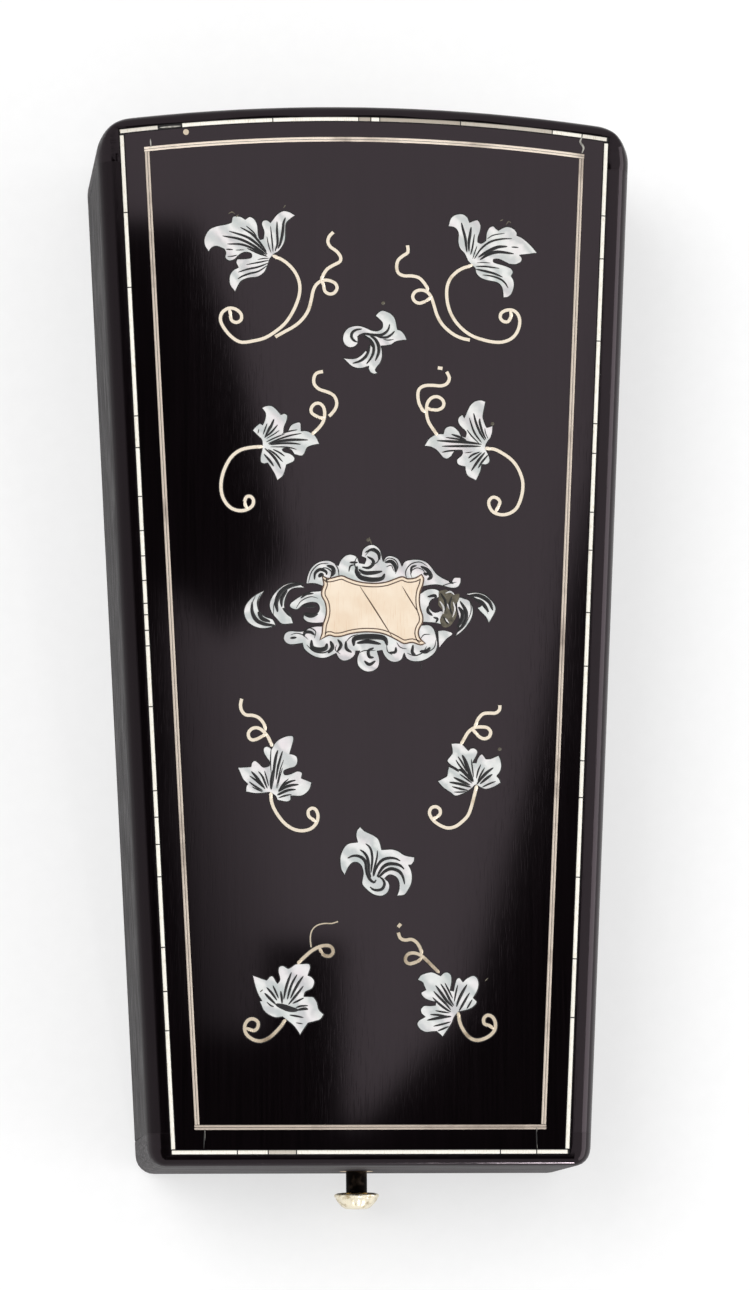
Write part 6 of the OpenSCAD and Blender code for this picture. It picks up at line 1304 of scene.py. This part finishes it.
def dimple_tree():
    """Presses staggered dimples into a turned thimble, by its attributes round (turns) and rise (metres)."""
    tree, given = node_tree("thimble_dimples", {"Spacing": 0.00115, "Girth": 0.042, "Depth": 0.00016, "From": 0.0042})
    around = add(tree, "GeometryNodeInputNamedAttribute", {"Name": "round"}, data_type="FLOAT")
    rise = add(tree, "GeometryNodeInputNamedAttribute", {"Name": "rise"}, data_type="FLOAT")
    count = add(tree, "ShaderNodeMath", {0: given["Girth"], 1: given["Spacing"]}, operation="DIVIDE")
    count = add(tree, "ShaderNodeMath", {0: count}, operation="ROUND")
    row = add(tree, "ShaderNodeMath", {0: rise, 1: given["Spacing"]}, operation="DIVIDE")
    level = add(tree, "ShaderNodeMath", {0: row}, operation="FLOOR")
    shift = add(tree, "ShaderNodeMath", {0: level, 1: 0.5}, operation="MULTIPLY")
    across = add(tree, "ShaderNodeMath", {0: around, 1: count, 2: shift}, operation="MULTIPLY_ADD")
    off = {}
    for axis, value in (("X", across), ("Y", row)):
        part = add(tree, "ShaderNodeMath", {0: value}, operation="FRACT")
        off[axis] = add(tree, "ShaderNodeMath", {0: part, 1: 0.5}, operation="SUBTRACT")
    far = add(tree, "ShaderNodeVectorMath", {0: add(tree, "ShaderNodeCombineXYZ", off)}, operation="LENGTH")
    dent = add(tree, "ShaderNodeMapRange", {"Value": far.outputs["Value"], "From Min": 0.12, "From Max": 0.42,
                                            "To Min": 1, "To Max": 0}, interpolation_type="SMOOTHSTEP")
    here = add(tree, "FunctionNodeCompare", {0: rise, 1: given["From"]}, data_type="FLOAT", operation="GREATER_THAN")
    push = add(tree, "ShaderNodeMath", {0: dent, 1: given["Depth"]}, operation="MULTIPLY")
    push = add(tree, "ShaderNodeMath", {0: push, 1: -1}, operation="MULTIPLY")
    offset = add(tree, "ShaderNodeVectorMath", {0: add(tree, "GeometryNodeInputNormal"), "Scale": push},
                 operation="SCALE")
    pressed = add(tree, "GeometryNodeSetPosition", {"Geometry": given["Geometry"], "Selection": here,
                                                    "Offset": offset})
    return tree_end(tree, pressed, "silver")


class ETUI_OT_tools(bpy.types.Operator):
    """Scissors, dimpled thimble, turned needle case, stiletto and bodkin"""
    bl_idname = "etui.tools"
    bl_label = "Tools"

    def execute(self, context):
        for side in ("left", "right"):
            softened("scissors_%s_half" % side, "steel", 0.16 * MM, round_from=(14, 0.6))
        softened("scissors_screw", "silver", 0.12 * MM, steps=3)
        softened("bodkin", "silver", 0.22 * MM, steps=3)
        self.thimble(context.scene.etui_sizes.dimple)
        body = [(0, 0), (0, .9), (.3, 1.5), (1, 2), (1, 2), (1.4, 1.7), (1.8, 2), (1.8, 2), (2.6, 2.75), (4, 3.45),
                (6, 4.15), (6, 4.15), (6.2, 3.8), (6.5, 3.8), (6.7, 4.2), (6.7, 4.2), (7.4, 4.25), (8.1, 4.2),
                (8.1, 4.2), (8.3, 3.8), (8.6, 3.8), (8.8, 4.2), (8.8, 4.2), (24, 4.25), (39.5, 4.2), (39.5, 4.2),
                (39.7, 3.95), (40, 3.8), (40.2, 4.2), (40.2, 4.2), (41.6, 4.22), (43, 4.2), (43, 4.2), (44, 3.9),
                (44, 3.9), (44, 3.35), (44, 3.35), (52, 3.35), (52, 3.35), (52, 2.2), (52, 2.2), (4.5, 2.2),
                (4.5, 2.2), (3.5, 0)]
        turned("needle_case_body_turned", rounded(body), (-19, -41, 12), "bone", "needle_case_body")
        cap = [(8.12, 3.41), (8.12, 3.41), (0, 3.41), (0, 3.41), (0, 3.85), (0, 3.85), (.8, 4.2), (.8, 4.2),
               (2.2, 4.22), (3.6, 4.2), (3.6, 4.2), (3.8, 3.8), (4.1, 3.8), (4.3, 4.2), (4.3, 4.2), (11, 4.25),
               (17.2, 4.2), (17.2, 4.2), (17.4, 3.8), (17.7, 3.8), (17.9, 4.2), (17.9, 4.2), (19.5, 4.0), (21.5, 3.3),
               (22.6, 2.6), (22.6, 2.6), (22.9, 2.2), (23.3, 2.2), (23.3, 2.2), (24, 2.3), (25, 1.95), (25.7, 1.1),
               (25.94, 0)]
        bore = [(21.4, 0), (19.4, 2.2), (8.12, 2.2), (8.12, 3.41)]
        turned("needle_case_cap_turned", rounded(cap) + bore, (-19, 3.06, 12), "bone", "needle_case_cap")
        handle = [(0, .97), (0, .97), (0, 2.1), (0, 2.1), (.5, 2.5), (2, 2.7), (3.2, 2.7), (4, 2.5), (4, 2.5),
                  (4.3, 2.1), (4.7, 2.1), (4.7, 2.1), (5, 2.4), (5.5, 2.4), (5.8, 2.15), (5.8, 2.15), (9, 2.45),
                  (14, 2.9), (22, 3.5), (28, 3.35), (32, 2.9), (35.2, 2.1), (35.2, 2.1), (35.5, 1.8), (35.9, 1.8),
                  (35.9, 1.8), (36.4, 2.3), (37, 2.3), (37.4, 1.95), (37.4, 1.95), (38.2, 2.4), (39.6, 2.65),
                  (40.8, 2.3), (41.7, 1.3), (42, 0)]
        socket = [(8.06, 0), (8.06, .97), (0, .97)]
        turned("stiletto_handle_turned", rounded(handle) + socket, (19, -4, 12), "bone", "stiletto_handle")
        blade = [(0, 0), (.02, .15), (20, .75), (35, 1.3), (35, 1.3), (36, 1.3), (36.4, 1.1), (36.9, 1.3),
                 (36.9, 1.3), (38, 1.3), (38, 1.3), (38, .91), (38, .91), (46, .91), (46, .91), (46, 0)]
        turned("stiletto_blade_turned", rounded(blade), (19, -42, 12), "steel", "stiletto_blade", 32)
        return {"FINISHED"}

    def thimble(self, spacing):
        """A rolled rim, a plain band and rows of dimples up to the crown."""
        outside = rounded([(0, 6.85), (.05, 7.2), (.4, 7.45), (.95, 7.45), (1.4, 7.15), (1.4, 7.15), (1.7, 7.02),
                           (2.2, 7.1), (2.7, 7.02), (2.7, 7.02), (3.4, 6.98)], 6)
        rows, steps = 92, 288
        outside += [(3.4 + (17 - 3.4) * i / rows, 6.98 + (6.0 - 6.98) * i / rows) for i in range(1, rows + 1)]
        outside += rounded([(17.05, 5.98), (17.9, 5.3), (18.5, 4.2), (18.85, 2.2), (19, 0)], 8)
        inside = [(18.4, 0), (18.2, 3.8), (17.3, 4.7), (16.7, 5.4), (1, 6.6), (0, 6.7)]
        # It lies along y, with its rim's middle here
        rim_y, rim_z = -48.55, 11.3
        work = bmesh.new()
        turn_layer, rise_layer = (work.verts.layers.float.new(key) for key in ("round", "rise"))
        rings = []
        for number, (at, radius) in enumerate(outside + inside):
            ring = []
            for i in range(steps if radius > 1e-6 else 1):
                a = 2 * math.pi * i / steps
                spot = (radius * math.cos(a), rim_y + at, rim_z + radius * math.sin(a))
                v = work.verts.new([c * MM for c in spot])
                v[turn_layer] = i / steps
                v[rise_layer] = at * MM if number < len(outside) and at < 17 else 0
                ring.append(v)
            rings.append(ring)
        skin(work, rings + rings[:1], steps)
        bmesh.ops.recalc_face_normals(work, faces=work.faces[:])
        mesh = grown("thimble_dimpled", smooth_mesh("thimble_turned", work, 40), dimple_tree(), Spacing=spacing)
        piece("thimble_dimpled", mesh, "base", ["thimble"])


class ETUI_OT_bed(bpy.types.Operator):
    """Velvet-covered tool bed with soft, rounded recesses"""
    bl_idname = "etui.bed"
    bl_label = "Velvet bed"

    def execute(self, context):
        holder = placed("bed_form", plain_mesh("bed_form", merged("tool_bed")))
        form = holder.modifiers.new("form", "REMESH")
        form.mode, form.voxel_size = "VOXEL", 0.52 * MM
        ease = holder.modifiers.new("ease", "SMOOTH")
        ease.factor, ease.iterations = 0.5, 7
        made = applied(holder)
        made.materials.clear()
        made.shade_smooth()
        bed = piece("velvet_bed", made, "base", ["tool_bed"], "velvet")
        return {"FINISHED"}


class ETUI_OT_pad(bpy.types.Operator):
    """Quilted silk pad inside the lid, puffed by a cloth simulation"""
    bl_idname = "etui.pad"
    bl_label = "Silk pad"

    # The pad is puffed at 20 times its size, which the cloth solver handles better, on a grid of faces
    SCALE = 20.0
    ACROSS, ALONG = 48, 104
    # In millimetres: the silk's height, the seams' lift and half width, the room round the pad that the silk
    # may swell into, the lid's wall with its gap, and the most that a point may move
    SILK_Z, SEAM_LIFT, SEAM_HALF, ROOM, WALL, MOST = 21.0, 0.6, 0.55, 0.25, 3.2 + 0.3, 1.15
    # Slope of the seams' diamonds
    SLOPE = 0.62

    def execute(self, context):
        mesh, held = self.form(context.scene.etui_sizes.quilt / MM)
        pad = placed("quilted_silk_pad", mesh)
        rest = [v.co.copy() for v in mesh.vertices]
        self.puff(context, pad, held)
        limit = self.MOST * MM * self.SCALE
        for v, start in zip(pad.data.vertices, rest):
            moved = v.co - start
            if moved.length > limit:
                v.co = start + moved * (limit / moved.length)
            v.co /= self.SCALE
        pad.data.shade_smooth()
        pad.data.set_sharp_from_angle(angle=math.radians(60))
        pad.data.materials.append(finish("silk"))
        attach(pad, "lid")
        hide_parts("lid_lining")
        return {"FINISHED"}

    def form(self, quilt):
        """The closed flat pad at the solver's scale, and the numbers of its points on seams and edges."""
        low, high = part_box("lid_lining")
        unit, across, along = MM * self.SCALE, self.ACROSS, self.ALONG
        work = bmesh.new()
        grid, pinned = [], set()
        y0, y1 = low.y / MM + self.ROOM, high.y / MM - self.ROOM
        for j in range(along + 1):
            y = y0 + (y1 - y0) * j / along
            wide = half_width(y, self.WALL + self.ROOM)
            row = []
            for i in range(across + 1):
                x = wide * (2 * i / across - 1)
                v = work.verts.new((x * unit, y * unit, self.SILK_Z * unit))
                edge = i in (0, across) or j in (0, along)
                seam = min(abs(((x + s * y * self.SLOPE) / quilt + 0.5) % 1 - 0.5) for s in (-1, 1)) * quilt
                if edge or seam < self.SEAM_HALF:
                    pinned.add(v)
                    if not edge:
                        v.co.z += self.SEAM_LIFT * unit
                row.append(v)
            grid.append(row)
        for a, b in zip(grid, grid[1:]):
            for i in range(across):
                work.faces.new((a[i], b[i], b[i + 1], a[i + 1]))
        loop = grid[0][:] + [r[-1] for r in grid[1:]] + grid[-1][-2::-1] + [r[0] for r in grid[-2:0:-1]]
        rim = [work.verts.new((v.co.x, v.co.y, high.z * self.SCALE)) for v in loop]
        pinned.update(rim)
        for k in range(len(loop)):
            n = (k + 1) % len(loop)
            work.faces.new((loop[k], loop[n], rim[n], rim[k]))
        work.faces.new(rim)
        bmesh.ops.recalc_face_normals(work, faces=work.faces[:])
        work.verts.index_update()
        held = [v.index for v in work.verts if v in pinned]
        return plain_mesh("pad_form", work), held

    def puff(self, context, pad, held):
        """Swells the silk between its pinned seams, and keeps the result as a plain mesh."""
        group = pad.vertex_groups.new(name="seams")
        group.add(held, 1.0, "REPLACE")
        cloth = pad.modifiers.new("cloth", "CLOTH")
        settings = cloth.settings
        settings.quality = 6
        settings.mass = 0.15
        settings.tension_stiffness = 4
        settings.compression_stiffness = 4
        settings.bending_stiffness = 0.1
        settings.vertex_group_mass = "seams"
        settings.use_pressure = True
        settings.uniform_pressure_force = 24
        settings.effector_weights.gravity = 0
        cloth.collision_settings.use_collision = False
        for number in range(1, 21):
            context.scene.frame_set(number)
        made = bpy.data.meshes.new_from_object(pad.evaluated_get(context.evaluated_depsgraph_get()))
        pad.modifiers.clear()
        pad.vertex_groups.clear()
        pad.data = made
        context.scene.frame_set(1)


class ETUI_PT_panel(bpy.types.Panel):
    """Lists the etui's operators and its sizes and colours"""
    bl_idname = "ETUI_PT_panel"
    bl_label = "Sewing etui"
    bl_space_type = "VIEW_3D"
    bl_region_type = "UI"
    bl_category = "Etui"

    def draw(self, context):
        for operator in OPERATORS:
            self.layout.operator(operator.bl_idname)
        for group in (context.scene.etui_sizes, context.scene.etui_colours):
            box = self.layout.box()
            for key in group.bl_rna.properties.keys():
                if key not in ("rna_type", "name"):
                    box.prop(group, key)


OPERATORS = (ETUI_OT_stage, ETUI_OT_case, ETUI_OT_stringing, ETUI_OT_inlay, ETUI_OT_engraving, ETUI_OT_hardware,
             ETUI_OT_button, ETUI_OT_tools, ETUI_OT_bed, ETUI_OT_pad)
CLASSES = (EtuiSizes, EtuiColours, *OPERATORS, ETUI_PT_panel)


def register():
    """Registers the classes and the two groups of settings."""
    for cls in CLASSES:
        bpy.utils.register_class(cls)
    bpy.types.Scene.etui_sizes = bpy.props.PointerProperty(type=EtuiSizes)
    bpy.types.Scene.etui_colours = bpy.props.PointerProperty(type=EtuiColours)


def unregister():
    """Removes what register added."""
    del bpy.types.Scene.etui_colours
    del bpy.types.Scene.etui_sizes
    for cls in reversed(CLASSES):
        bpy.utils.unregister_class(cls)


def main():
    """Runs the operators in order."""
    register()
    for operator in OPERATORS:
        group, name = operator.bl_idname.split(".")
        getattr(getattr(bpy.ops, group), name)()


if __name__ == "__main__":
    main()
